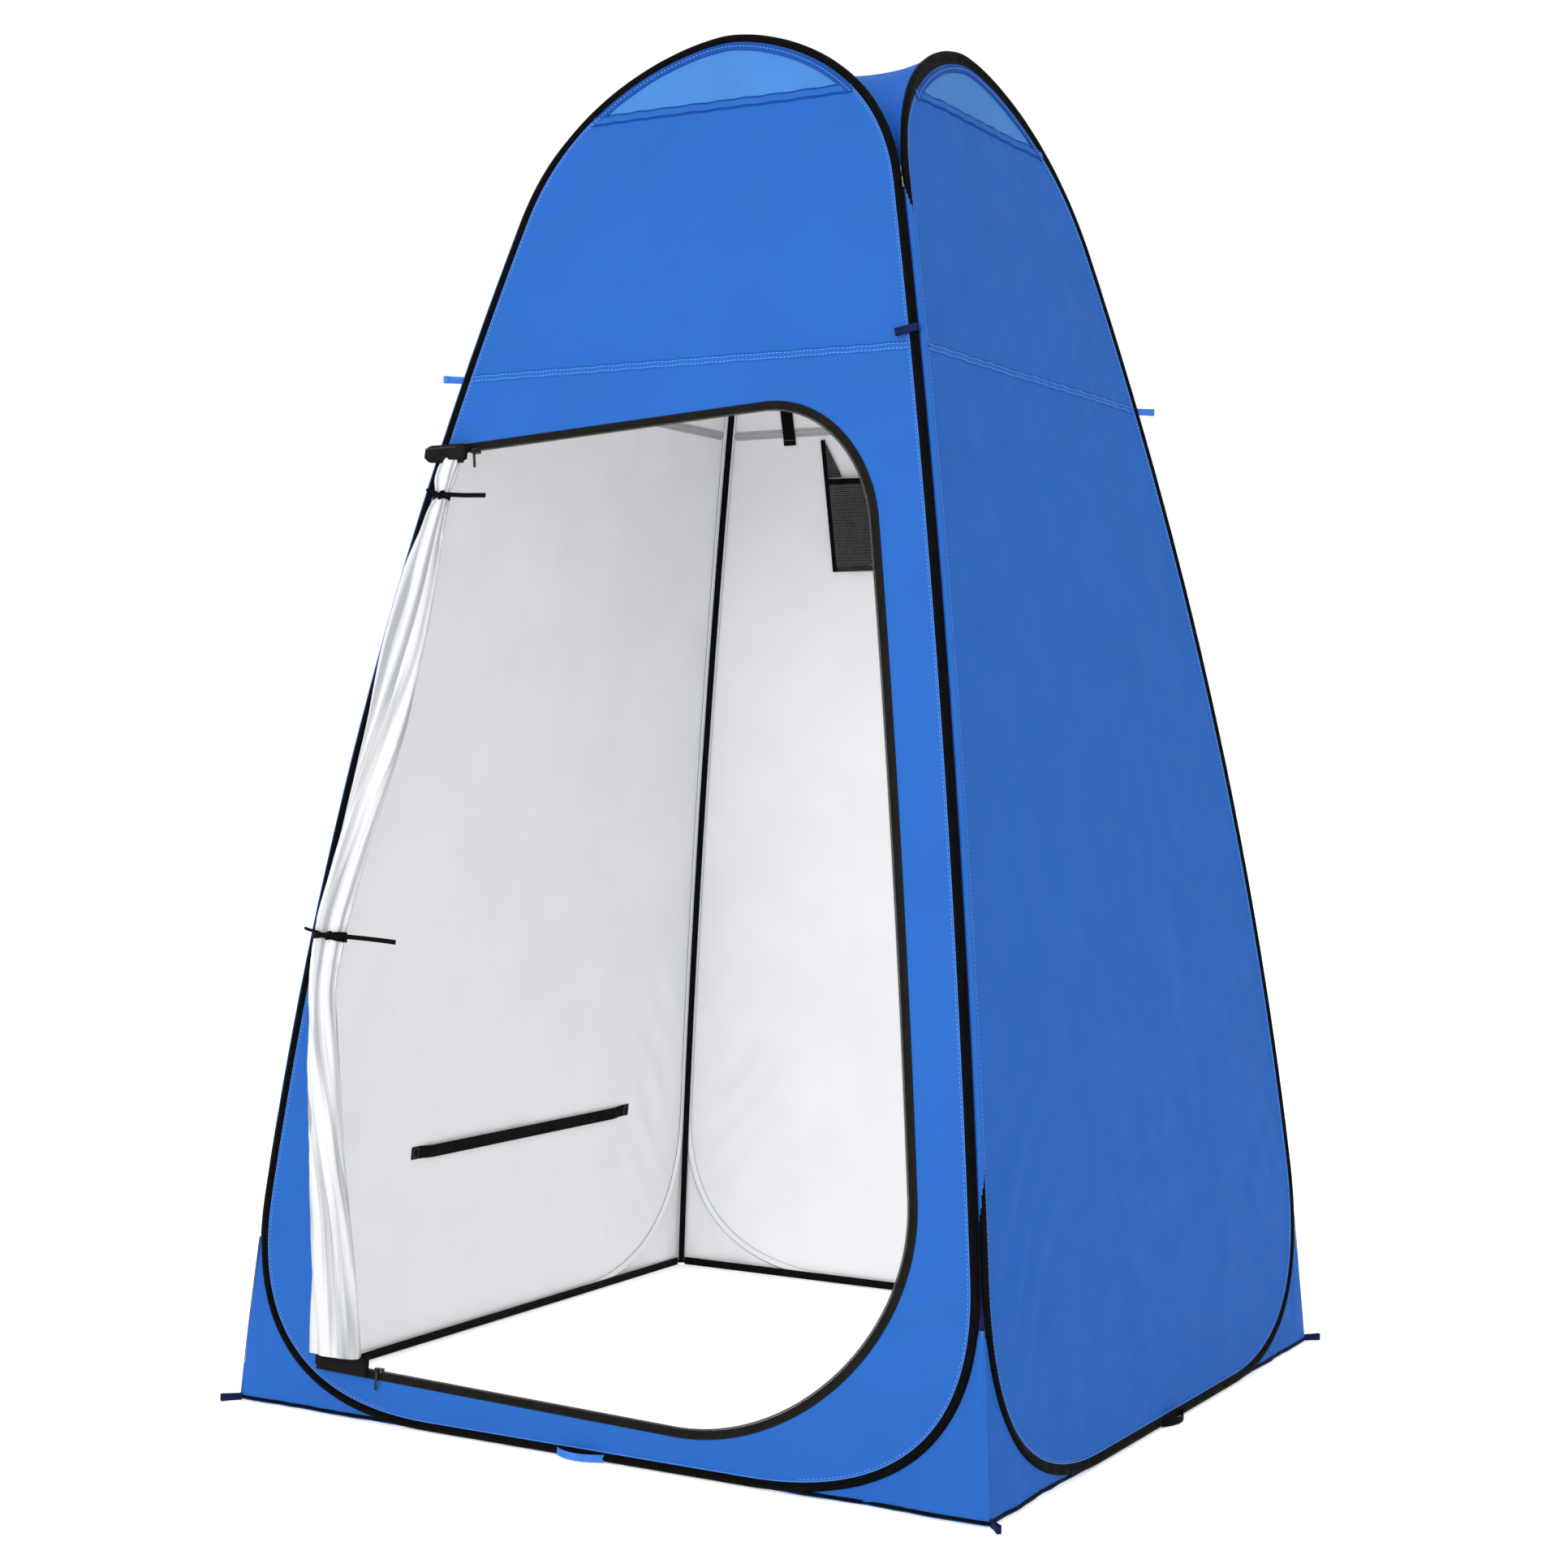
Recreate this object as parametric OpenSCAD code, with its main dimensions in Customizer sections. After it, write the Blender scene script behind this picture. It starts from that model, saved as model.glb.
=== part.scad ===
// Pop-up privacy shower tent: four leaning fabric walls, each stretched in its own
// closed spring-steel hoop, with a gathered zip door in the front wall.
// Millimetres, +Z up. The origin is the centre of the base, on the ground.
// The front wall faces -Y and the other walls are the front wall turned about Z.

/* [Size] */
// Width of the base between the outer faces of two opposite walls
base_w = 1200; // [900:10:1600]
// Height of the tent
tent_h = 1980; // [1500:10:2300]
// Distance between the tops of two opposite walls
top_w = 500; // [300:10:700]
// How far each wall bulges out of the straight line from its base to its top
wall_bow = 55; // [20:1:90]
// Height of the main seam around the walls
seam_z = 1490; // [1200:10:1700]
// Height of the seam below the top caps
cap_seam_z = 1872; // [1750:2:1930]

/* [Fabric] */
// Thickness of the wall fabric as drawn
fabric_t = 1; // [0.6:0.1:2]
// Width of the webbing of the loops and straps
webbing_w = 20; // [12:1:30]

/* [Hoops] */
// Diameter of the spring-steel wire
wire_d = 3.6; // [2.5:0.1:6]
// Outer diameter of the sleeve around the wire
sleeve_d = 11; // [8:0.5:16]
// Distance from a wall's corner edge to the middle of its sleeve
sleeve_inset = 9; // [8.5:0.5:14]
// Half length of the straight bottom run of a hoop
hoop_foot = 259; // [150:1:400]
// Height where the rounded bottom corner of a hoop ends
hoop_corner_z = 294; // [200:1:400]
// Height where neighbouring hoops part to form the top arches
hoop_part_z = 1727; // [1600:1:1800]

/* [Door] */
// Height of the bottom edge of the doorway at its right end
door_sill_z = 52; // [30:1:120]
// Height of the top edge of the doorway at its right end
door_head_z = 1421; // [1200:1:1450]
// How much the left end of the top edge drops
door_head_drop = 33; // [0:1:60]
// How much the left end of the bottom edge rises
door_sill_rise = 14; // [0:1:30]
// Width of fabric between the doorway and the corner on the right side
door_margin_right = 90; // [60:1:150]
// Width of fabric between the doorway and the corner on the left side
door_margin_left = 45; // [30:1:90]
// Width of the zip tape
zip_tape_w = 14; // [10:1:24]
// Diameter of the zip's coil
zip_coil_d = 3; // [2:0.5:5]

/* [Gathered door] */
// Depth of the gathered door bundle as a share of its width
roll_depth_share = 0.55; // [0.4:0.05:0.9]
// Height of the upper tie-back
upper_tie_z = 1313; // [1150:1:1340]
// Height of the lower tie-back
lower_tie_z = 672; // [400:1:900]
// Width of the tie-back tape
tie_w = 8; // [5:1:15]
// Length of the upper tie-back's free end
upper_tie_tail = 68; // [30:1:120]
// Length of the lower tie-back's free end
lower_tie_tail = 94; // [30:1:120]

/* [Sliders] */
// Length of a zip slider along the zip
slider_l = 12; // [8:1:18]
// Length of a slider's pull tab
pull_l = 26; // [15:1:45]
// Distance of the sliders from the left end of the zip
slider_start = 16; // [12:1:60]

/* [Straps and pocket] */
// Length of the towel strap on the left wall
towel_strap_l = 616; // [300:1:800]
// Height of the towel strap
towel_strap_z = 312; // [200:1:1200]
// Width of the mesh pocket
pocket_w = 192; // [120:1:300]
// Height of the mesh pocket's mouth
pocket_top_z = 1411; // [1300:1:1440]
// Height of the mesh pocket's bottom
pocket_bottom_z = 1257; // [1100:1:1300]
// Depth of the mesh pocket
pocket_d = 18; // [10:1:40]
// Length of the hanging strap
hanging_strap_l = 120; // [60:1:200]
// Length of a stake loop along the bottom of a wall
stake_loop_l = 75; // [40:1:100]
// How far a stake loop stands out from the wall
stake_loop_out = 16; // [12:1:30]
// Length of the loops at the corners
corner_loop_l = 30; // [20:1:50]

/* [Hidden] */
half_w = base_w / 2;
sleeve_r = sleeve_d / 2;
wire_r = wire_d / 2;
tunnel_r = wire_r + 0.8;
// How deep the edge of the fabric sits in the wall of a sleeve
sleeve_grip = 1.8;
// Distance of a skirt from the next wall's outer face
wall_gap = 6;
skirt_hem_h = 16;
corner_tape_w = 11;
corner_tape_top_z = 185;
tape_t = 1.2;
loop_eye = 5;
corner_loop_w = 10;
coil_r = zip_coil_d / 2;

// The doorway's outline: ends of its straight runs, and the handles of its rounded corners
door_sill_flat_x = 150;
door_sill_handle_x = 330;
door_knee_z = 383;
door_knee_handle = 170;
door_shoulder_z = 1255;
door_shoulder_handle = 90;
door_head_handle = [240, 6];
door_head_flat_x = 146;

// The sliders and their pull tabs
slider_plate = 2;
slider_clear = coil_r + 0.4;
pull_pin_r = 0.8;
pull_eye_r = 1.2;
pin_lift = 2.3;
pull_pin_y = slider_clear + slider_plate + pin_lift;
lower_slider_x = -346;

// Places of the fittings along the inside of their walls
towel_strap_x = -72;
hanging_strap_x = 255;
hanging_strap_w = 24;
pocket_right_x = 187;
pocket_edge_w = 7;

// Every wall is bent to one circular arc in the (distance from the axis, z) plane.
lean = atan2(half_w - top_w / 2, tent_h);
chord = norm([half_w - top_w / 2, tent_h]);
arc_r = (chord * chord / 4 + wall_bow * wall_bow) / (2 * wall_bow);
arc_x = (half_w + top_w / 2) / 2 - (arc_r - wall_bow) * cos(lean);
arc_z = tent_h / 2 - (arc_r - wall_bow) * sin(lean);

// Distance from the tent's axis to a wall's outer face at height z
function reach(z) = arc_x + sqrt(arc_r * arc_r - (z - arc_z) * (z - arc_z));
// Change of that distance per millimetre of height
function reach_slope(z) = -(z - arc_z) / sqrt(arc_r * arc_r - (z - arc_z) * (z - arc_z));
// Angle between a wall and the vertical at height z
function tilt(z) = asin((z - arc_z) / arc_r);

function bezier(a, b, c, d, n) = [
    for (i = [0:n])
        let (t = i / n, s = 1 - t)
        s * s * s * a + 3 * s * s * t * b + 3 * s * t * t * c + t * t * t * d
];
function mirrored(points) = [for (i = [len(points) - 1:-1:0]) [-points[i][0], points[i][1]]];
function steps(low, high, n) = [for (i = [0:n]) low + (high - low) * i / n];

// ---- outlines, as [x, z] points seen from outside a wall ----

function box_points(x_low, x_high, z_low, z_high) = [
    [x_low, z_low],
    [x_high, z_low],
    [x_high, z_high],
    [x_low, z_high]
];

// Corner edge of a wall, moved in by inset
function edge_points(low, high, inset, n) = [for (z = steps(low, high, n)) [reach(z) - inset, z]];

// Right half of a hoop's centre line, from the bottom to the top
function hoop_half() =
    let (
        foot = [hoop_foot, sleeve_r],
        knee = [reach(hoop_corner_z) - sleeve_inset, hoop_corner_z],
        shoulder = [reach(hoop_part_z) - sleeve_inset, hoop_part_z],
        rise = tent_h - sleeve_r - hoop_part_z,
        corner = bezier(
            foot,
            foot + [(knee[0] - foot[0]) * 0.68, 0],
            knee - 0.68 * (hoop_corner_z - sleeve_r) * [reach_slope(hoop_corner_z), 1],
            knee,
            9
        ),
        arch = bezier(
            shoulder,
            shoulder + 0.8 * rise * [reach_slope(hoop_part_z), 1],
            [0.2 * shoulder[0], tent_h - sleeve_r],
            [0, tent_h - sleeve_r],
            10
        )
    )
    concat(
        [[hoop_foot / 2, sleeve_r]],
        corner,
        edge_points(hoop_corner_z + 160, hoop_part_z - 160, sleeve_inset, 8),
        arch
    );
function hoop_points() =
    let (right = hoop_half())
    concat([for (i = [0:len(right) - 2]) right[i]], mirrored(right));

// Outward normal of a closed counter-clockwise outline at point i
function outline_normal(points, i) =
    let (
        n = len(points),
        along = points[(i + 1) % n] - points[(i + n - 1) % n],
        l = norm(along)
    )
    [along[1] / l, -along[0] / l];
// The same outline moved out by d (in where d is negative)
function moved(points, d) = [for (i = [0:len(points) - 1]) points[i] + d * outline_normal(points, i)];

// Doorway, moved in by inset on the three sides that have the zip and out by left on the fourth
function door_points(inset, left = 0) =
    let (
        sill = door_sill_z + inset,
        head = door_head_z - inset,
        right_inset = door_margin_right + inset,
        knee = [reach(door_knee_z) - right_inset, door_knee_z],
        shoulder = [reach(door_shoulder_z) - right_inset, door_shoulder_z],
        bottom_corner = bezier(
            [door_sill_flat_x, sill],
            [door_sill_handle_x, sill],
            knee - door_knee_handle * [reach_slope(door_knee_z), 1],
            knee,
            8
        ),
        top_corner = bezier(
            shoulder,
            shoulder + door_shoulder_handle * [reach_slope(door_shoulder_z), 1],
            [0, head] + door_head_handle,
            [door_head_flat_x, head],
            8
        )
    )
    concat(
        [[-door_left_x(door_sill_z) - left, sill + door_sill_rise]],
        bottom_corner,
        edge_points(560, 1080, right_inset, 3),
        top_corner,
        [[-door_left_x(door_head_z) - left, head - door_head_drop]],
        [for (z = steps(1300, 150, 8)) [-door_left_x(z) - left, z]]
    );
// Distance from the tent's axis to the left edge of the doorway
function door_left_x(z) =
    let (low = max(0, 450 - z))
    reach(z) - door_margin_left - low * low / 1700;

// ---- shapes shared by the walls ----

// Turns a piece drawn on the front wall onto wall 0 front, 1 right, 2 back or 3 left
module on_wall(index) {
    rotate([0, 0, 90 * index])
        children();
}

// Bent sheet between two offsets from the wall's outer face, cut to an outline
module wall_sheet(low, high, points) {
    heights = steps(-20, tent_h + 20, 28);
    function side_view(offset) = [
        for (z = heights) [-reach(z) - offset * cos(tilt(z)), z + offset * sin(tilt(z))]
    ];
    function reversed(list) = [for (i = [len(list) - 1:-1:0]) list[i]];
    intersection() {
        rotate([90, 0, 90])
            linear_extrude(height = 2 * base_w, center = true)
                polygon(concat(side_view(low), reversed(side_view(high))));
        rotate([90, 0, 0])
            linear_extrude(height = base_w)
                polygon(points);
    }
}

// Places a piece drawn at the origin, facing -Y, on the front wall at [x, z]
module at_wall(x, z) {
    translate([x, -reach(z), z])
        rotate([-tilt(z), 0, 0])
            children();
}

// Point on the front wall's outer face plus offsets along the wall and out of it
function wall_point(x, z, across, outward) =
    let (a = tilt(z))
    [
        x + across[0],
        -reach(z) - outward * cos(a) + across[1] * sin(a),
        z + outward * sin(a) + across[1] * cos(a)
    ];

// Closed tube along a closed outline in the front wall, with a radius per point
module ring_tube(points, radii, sides) {
    n = len(points);
    vertices = [
        for (i = [0:n - 1], k = [0:sides - 1])
            let (a = 360 * k / sides, normal = outline_normal(points, i), r = radii[i])
            wall_point(points[i][0], points[i][1], r * cos(a) * normal, r * sin(a) - fabric_t / 2)
    ];
    faces = [
        for (i = [0:n - 1], k = [0:sides - 1], half = [0, 1])
            let (
                a = i * sides + k,
                b = i * sides + (k + 1) % sides,
                c = ((i + 1) % n) * sides + (k + 1) % sides,
                d = ((i + 1) % n) * sides + k
            )
            half == 0 ? [a, b, c] : [a, c, d]
    ];
    polyhedron(points = vertices, faces = faces, convexity = 6);
}

// Folded webbing loop along +X from the origin, with its width along Z
module webbing_loop(length, width) {
    end_r = loop_eye / 2 + tape_t;
    translate([0, 0, -width / 2])
        linear_extrude(height = width)
            difference() {
                union() {
                    translate([0, -end_r])
                        square([length - end_r, 2 * end_r]);
                    translate([length - end_r, 0])
                        circle(r = end_r, $fn = 48);
                }
                translate([length - end_r, 0])
                    circle(d = loop_eye, $fn = 48);
                translate([8, -loop_eye / 2])
                    square([length - end_r - 8, loop_eye]);
            }
}

// ---- pieces of one wall, drawn on the front wall ----

// Part of the hoop's inside between two heights
module hoop_sheet(z_low, z_high) {
    inside = moved(hoop_points(), sleeve_grip - sleeve_r);
    intersection() {
        wall_sheet(-fabric_t, 0, inside);
        translate([-base_w, -base_w, z_low])
            cube([2 * base_w, base_w, z_high - z_low]);
    }
}

module lower_panel() {
    hoop_sheet(0, seam_z);
}

module upper_panel() {
    hoop_sheet(seam_z, cap_seam_z);
}

module cap_panel() {
    hoop_sheet(cap_seam_z, tent_h);
}

module sleeve() {
    path = hoop_points();
    difference() {
        ring_tube(path, [for (p = path) sleeve_r], 8);
        ring_tube(path, [for (p = path) tunnel_r], 6);
    }
}

// The wire is closed by a crimped ferrule in the middle of the bottom run
module hoop() {
    path = hoop_points();
    ring_tube(path, [for (p = path) wire_r], 6);
}

// Triangles of fabric outside the hoop's bottom corners, joined by the ground hem
module skirt() {
    outside = moved(hoop_points(), sleeve_r - sleeve_grip);
    inner_edge = [
        for (p = outside)
            if (p[0] > hoop_foot - 1 && reach(p[1]) - p[0] > wall_gap + 2 && p[1] < hoop_corner_z) p
    ];
    top_z = inner_edge[len(inner_edge) - 1][1];
    outer_edge = [for (z = steps(top_z, 0, 6)) [reach(z) - wall_gap, z]];
    half = concat(inner_edge, outer_edge, [[hoop_foot, 0]]);
    hem_x = reach(0) - wall_gap;
    for (side = [0, 1])
        mirror([side, 0, 0])
            wall_sheet(-fabric_t, 0, half);
    difference() {
        wall_sheet(-2 * fabric_t, -fabric_t, box_points(-hem_x, hem_x, 0, skirt_hem_h));
        wall_sheet(-3 * fabric_t, 0, outside);
    }
}

// Tape over the corner seam between two skirts, carried by one of the walls
module corner_tape() {
    wall_sheet(
        -2 * fabric_t,
        -fabric_t,
        [
            [reach(skirt_hem_h) - wall_gap - corner_tape_w, skirt_hem_h],
            [reach(skirt_hem_h) - wall_gap, skirt_hem_h],
            [reach(corner_tape_top_z) - wall_gap, corner_tape_top_z],
            [reach(corner_tape_top_z) - wall_gap - corner_tape_w, corner_tape_top_z]
        ]
    );
}

// Gore of the crown between this wall's arch and the diagonals to its neighbours
module crown_gore() {
    cells = 16;
    rows = 4;
    half = reach(hoop_part_z) - sleeve_inset - 4;
    arch = hoop_half();
    function arch_z(x) = lookup(abs(x), [for (i = [len(arch) - 1:-1:len(arch) - 11]) arch[i]]);
    function point(i, j, lift) =
        let (
            x = half * (2 * i / cells - 1),
            rim_z = arch_z(x),
            valley_z = crown_valley_z(x),
            t = j / rows,
            z = rim_z + (valley_z - rim_z) * t,
            y = -(reach(rim_z) - 7) * (1 - t) - (abs(x) + 3) * t
        )
        [x, y, z + lift];
    count = (cells + 1) * (rows + 1);
    vertices = [
        for (lift = [0, -fabric_t], i = [0:cells], j = [0:rows]) point(i, j, lift)
    ];
    function at(i, j, layer) = layer * count + i * (rows + 1) + j;
    top = [
        for (i = [0:cells - 1], j = [0:rows - 1], half_cell = [0, 1])
            half_cell == 0
                ? [at(i, j, 0), at(i, j + 1, 0), at(i + 1, j + 1, 0)]
                : [at(i, j, 0), at(i + 1, j + 1, 0), at(i + 1, j, 0)]
    ];
    bottom = [
        for (i = [0:cells - 1], j = [0:rows - 1], half_cell = [0, 1])
            half_cell == 0
                ? [at(i, j, 1), at(i + 1, j + 1, 1), at(i, j + 1, 1)]
                : [at(i, j, 1), at(i + 1, j, 1), at(i + 1, j + 1, 1)]
    ];
    rim = concat(
        [for (i = [0:cells]) [i, 0]],
        [for (j = [1:rows]) [cells, j]],
        [for (i = [cells - 1:-1:0]) [i, rows]],
        [for (j = [rows - 1:-1:1]) [0, j]]
    );
    sides = [
        for (k = [0:len(rim) - 1], half_cell = [0, 1])
            let (a = rim[k], b = rim[(k + 1) % len(rim)])
            half_cell == 0
                ? [at(a[0], a[1], 0), at(b[0], b[1], 0), at(b[0], b[1], 1)]
                : [at(a[0], a[1], 0), at(b[0], b[1], 1), at(a[0], a[1], 1)]
    ];
    polyhedron(points = vertices, faces = concat(top, bottom, sides), convexity = 4);
}
// Height of the crown above a wall's diagonal, from the corner to the middle
function crown_valley_z(x) =
    let (s = min(1, abs(x) / reach(hoop_part_z)))
    tent_h - 45 - (tent_h - 45 - hoop_part_z) * pow(s, 2.4);

// Strap that bows out from the foot of a wall and lies on the ground
module stake_loop() {
    bow_r = (pow(stake_loop_l / 2, 2) + pow(stake_loop_out, 2)) / (2 * stake_loop_out);
    foot_y = -reach(0) - wire_r;
    intersection() {
        translate([0, foot_y - stake_loop_out + bow_r, 0])
            difference() {
                cylinder(r = bow_r, h = corner_loop_w, $fn = 96);
                translate([0, 0, -1])
                    cylinder(r = bow_r - 1.6, h = corner_loop_w + 2, $fn = 96);
            }
        translate([-stake_loop_l / 2, foot_y - stake_loop_out, 0])
            cube([stake_loop_l, stake_loop_out, corner_loop_w]);
    }
}

// Loop for a guy line, sewn to this wall's sleeve at the main seam and clear of the next wall's
module guy_loop() {
    translate([-reach(seam_z), -reach(seam_z), seam_z])
        rotate([0, 0, 225])
            translate([-2.5, 3, 0])
                webbing_loop(corner_loop_l, corner_loop_w);
}

// Loop for a stake, sewn to the corner of a skirt and lying on the ground
module corner_stake_loop() {
    translate([-reach(0) + wall_gap, -reach(0), 0])
        rotate([0, 0, 225])
            translate([-2, 0, corner_loop_w / 2])
                webbing_loop(corner_loop_l, corner_loop_w);
}

// ---- the front wall's doorway and zip ----

module front_lower_panel() {
    color("royalblue")
        difference() {
            lower_panel();
            wall_sheet(-5, 5, door_points(-3));
        }
}

module door_zip_tape() {
    color("black")
        difference() {
            wall_sheet(0, tape_t, door_points(-zip_tape_w / 2));
            wall_sheet(-5, 5, door_points(zip_tape_w / 2, 40));
        }
}

module door_zip_coil() {
    color("dimgray")
        difference() {
            wall_sheet(tape_t / 2 - coil_r, tape_t / 2 + coil_r, door_points(zip_tape_w / 2));
            wall_sheet(-5, 5, door_points(zip_tape_w / 2 + zip_coil_d, 40));
        }
}

// The door bundle as [height, left edge, right edge] at its ends, ties and bulges
roll_stations = [
    [1364, -384, -352],
    [1281, -393, -367],
    [1209, -410, -363],
    [1090, -428, -365],
    [971, -452, -381],
    [820, -482, -424],
    [690, -510, -452],
    [600, -514, -464],
    [500, -503, -446],
    [363, -487, -423],
    [273, -473, -401],
    [140, -457, -368],
    [72, -450, -361]
];
function roll_half_w(station) = (station[2] - station[1]) / 2;
function roll_half_d(station) = roll_half_w(station) * roll_depth_share;

// Ring of points around the bundle at one station
function roll_ring(station, sides) = [
    for (k = [0:sides - 1])
        let (a = 360 * k / sides)
        wall_point(
            (station[1] + station[2]) / 2,
            station[0],
            [roll_half_w(station) * cos(a), 0],
            roll_half_d(station) * (1 + sin(a)) - fabric_t
        )
];

module door_roll() {
    sides = 14;
    n = len(roll_stations);
    vertices = [for (i = [0:n - 1]) each roll_ring(roll_stations[i], sides)];
    walls = [
        for (i = [0:n - 2], k = [0:sides - 1], half = [0, 1])
            let (
                a = i * sides + k,
                b = i * sides + (k + 1) % sides
            )
            half == 0 ? [a, b, b + sides] : [a, b + sides, a + sides]
    ];
    top = [for (k = [sides - 1:-1:0]) k];
    bottom = [for (k = [0:sides - 1]) (n - 1) * sides + k];
    color("silver")
        polyhedron(points = vertices, faces = concat(walls, [top, bottom]), convexity = 4);
}

// Folded stack of the door panel's own zip tape, with rounded ends
module tape_fold(length, height) {
    rotate([90, 0, 0])
        linear_extrude(height = 12)
            union() {
                translate([height / 2, -height / 2])
                    square([length - height, height]);
                for (x = [height / 2, length - height / 2])
                    translate([x, 0])
                        circle(d = height, $fn = 48);
            }
}

module door_tape_top_fold() {
    color("black")
        at_wall(-415, 1375)
            translate([0, -6.5, 0])
                tape_fold(72, 26);
}

module door_tape_bottom_fold() {
    color("black")
        at_wall(-452, 78)
            translate([0, -3, 0])
                tape_fold(90, 24);
}

// Tape wrapped once round the bundle, with a free end to the right
module tie_back(z, left, right, tail) {
    half_x = (right - left) / 2 + 0.6;
    half_y = (right - left) / 2 * roll_depth_share + 0.6;
    at_wall((left + right) / 2, z)
        translate([0, fabric_t - half_y + 0.6, 0]) {
            linear_extrude(height = tie_w, center = true)
                difference() {
                    polygon(ellipse_points(half_x + tape_t, half_y + tape_t));
                    polygon(ellipse_points(half_x - 1, half_y - 1));
                }
            translate([half_x - 0.5, -tape_t / 2, -tie_w / 2])
                cube([tail, tape_t, tie_w]);
        }
}
function ellipse_points(a, b) = [for (k = [0:35]) [a * cos(10 * k), b * sin(10 * k)]];

module upper_tie_back() {
    color("black")
        tie_back(upper_tie_z, -389, -363, upper_tie_tail);
}

module lower_tie_back() {
    color("black")
        tie_back(lower_tie_z, -511, -454, lower_tie_tail);
}

// ---- sliders, drawn with the zip along X and the tape on the +Z side ----

module slider() {
    shell = slider_clear + slider_plate;
    color("dimgray")
        difference() {
            union() {
                translate([-slider_l / 2, -shell, -shell])
                    cube([slider_l, 2 * shell, slider_clear + shell + 0.6]);
                for (x = [-3.4, 2.2])
                    translate([x, -shell - pin_lift - 0.9, -1.2])
                        cube([1.2, pin_lift + 1, 2.4]);
                translate([-3, -shell - pin_lift, 0])
                    rotate([0, 90, 0])
                        cylinder(r = pull_pin_r, h = 6, $fn = 24);
            }
            translate([-slider_l / 2 - 1, -slider_clear, -slider_clear])
                cube([slider_l + 2, 2 * slider_clear, 2 * slider_clear + slider_plate + 1]);
        }
}

// Pull tab that hangs down -Z from its pin at the origin
module pull() {
    color("gray")
        translate([-1.8, 0, 0])
            rotate([90, 0, 90])
                linear_extrude(height = 3.6)
                    difference() {
                        union() {
                            circle(r = pull_eye_r + 0.7, $fn = 32);
                            translate([-0.8, -pull_l])
                                square([1.6, pull_l - pull_eye_r - 0.2]);
                        }
                        circle(r = pull_eye_r, $fn = 32);
                    }
}

// Places a slider on the top run of the zip
module at_head() {
    x = -door_left_x(door_head_z) + slider_start;
    z = door_head_z - door_head_drop - zip_tape_w / 2 - coil_r + slider_start * head_slope;
    at_wall(x, z)
        translate([0, -tape_t / 2, 0])
            rotate([0, -atan(head_slope), 0])
                children();
}
head_slope = door_head_drop / (door_head_flat_x + door_left_x(door_head_z));

// Places a slider on the bottom run of the zip, past the folded tape
module at_sill() {
    run = lower_slider_x + door_left_x(door_sill_z);
    z = door_sill_z + door_sill_rise + zip_tape_w / 2 + coil_r - run * sill_slope;
    at_wall(lower_slider_x, z)
        translate([0, -tape_t / 2, 0])
            rotate([0, atan(sill_slope), 0])
                mirror([0, 0, 1])
                    children();
}
sill_slope = door_sill_rise / (door_sill_flat_x + door_left_x(door_sill_z));

module upper_slider() {
    at_head()
        slider();
}

module upper_pull() {
    at_head()
        translate([0, -pull_pin_y, 0])
            rotate([tilt(door_head_z - door_head_drop), 0, 0])
                pull();
}

module lower_slider() {
    at_sill()
        slider();
}

module lower_pull() {
    at_sill()
        translate([0, -pull_pin_y, 0])
            mirror([0, 0, 1])
                pull();
}

// ---- fittings inside the tent ----

// Strap that stands off the wall between its two sewn ends
module towel_strap() {
    gap = 9;
    sewn_l = 20;
    color("black")
        on_wall(3)
            difference() {
                strap_sheet(-fabric_t - gap - tape_t, -fabric_t, towel_strap_l);
                strap_sheet(-fabric_t - gap, 0, towel_strap_l - 2 * sewn_l);
            }
}
module strap_sheet(low, high, length) {
    left = towel_strap_x - length / 2;
    bottom = towel_strap_z - webbing_w / 2;
    wall_sheet(low, high, box_points(left, left + length, bottom, bottom + webbing_w));
}

module hanging_strap() {
    low = seam_z - 20;
    left = hanging_strap_x - hanging_strap_w / 2;
    outline = box_points(left, left + hanging_strap_w, low, low + hanging_strap_l);
    color("black")
        on_wall(2)
            wall_sheet(-3 * fabric_t, -fabric_t, outline);
}

// Open-topped mesh bag on the inside of the back wall
module pocket_mesh() {
    mesh_t = 0.8;
    left = pocket_right_x - pocket_w;
    bag = box_points(left, pocket_right_x, pocket_bottom_z, pocket_top_z);
    inside = box_points(left + 1, pocket_right_x - 1, pocket_bottom_z + 1, pocket_top_z + 5);
    color("dimgray")
        on_wall(2)
            difference() {
                wall_sheet(-fabric_t - pocket_d, -fabric_t, bag);
                wall_sheet(-fabric_t - pocket_d + mesh_t, 0, inside);
            }
}

// Binding along the pocket's mouth, and down its edge from just below the main seam
module pocket_binding() {
    low = -fabric_t - pocket_d - tape_t;
    left = pocket_right_x - pocket_w;
    right = pocket_right_x + pocket_edge_w;
    mouth = box_points(left, pocket_right_x, pocket_top_z - 10, pocket_top_z);
    edge = box_points(pocket_right_x, right, pocket_bottom_z, pocket_top_z);
    tail = box_points(pocket_right_x, right, pocket_top_z, seam_z - 14);
    color("black")
        on_wall(2) {
            wall_sheet(low, low + tape_t, mouth);
            wall_sheet(low, -fabric_t, edge);
            wall_sheet(-3 * fabric_t, -fabric_t, tail);
        }
}

// ---- the pieces of the four walls, in place ----

module front_upper_panel() {
    color("royalblue")
        on_wall(0)
            upper_panel();
}

module front_cap_panel() {
    color("dodgerblue")
        on_wall(0)
            cap_panel();
}

module front_sleeve() {
    color("black")
        on_wall(0)
            sleeve();
}

module front_hoop() {
    color("silver")
        on_wall(0)
            hoop();
}

module front_skirt() {
    color("royalblue")
        on_wall(0)
            skirt();
}

module front_crown_gore() {
    color("royalblue")
        on_wall(0)
            crown_gore();
}

module front_stake_loop() {
    color("black")
        on_wall(0)
            stake_loop();
}

module right_lower_panel() {
    color("royalblue")
        on_wall(1)
            lower_panel();
}

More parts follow.
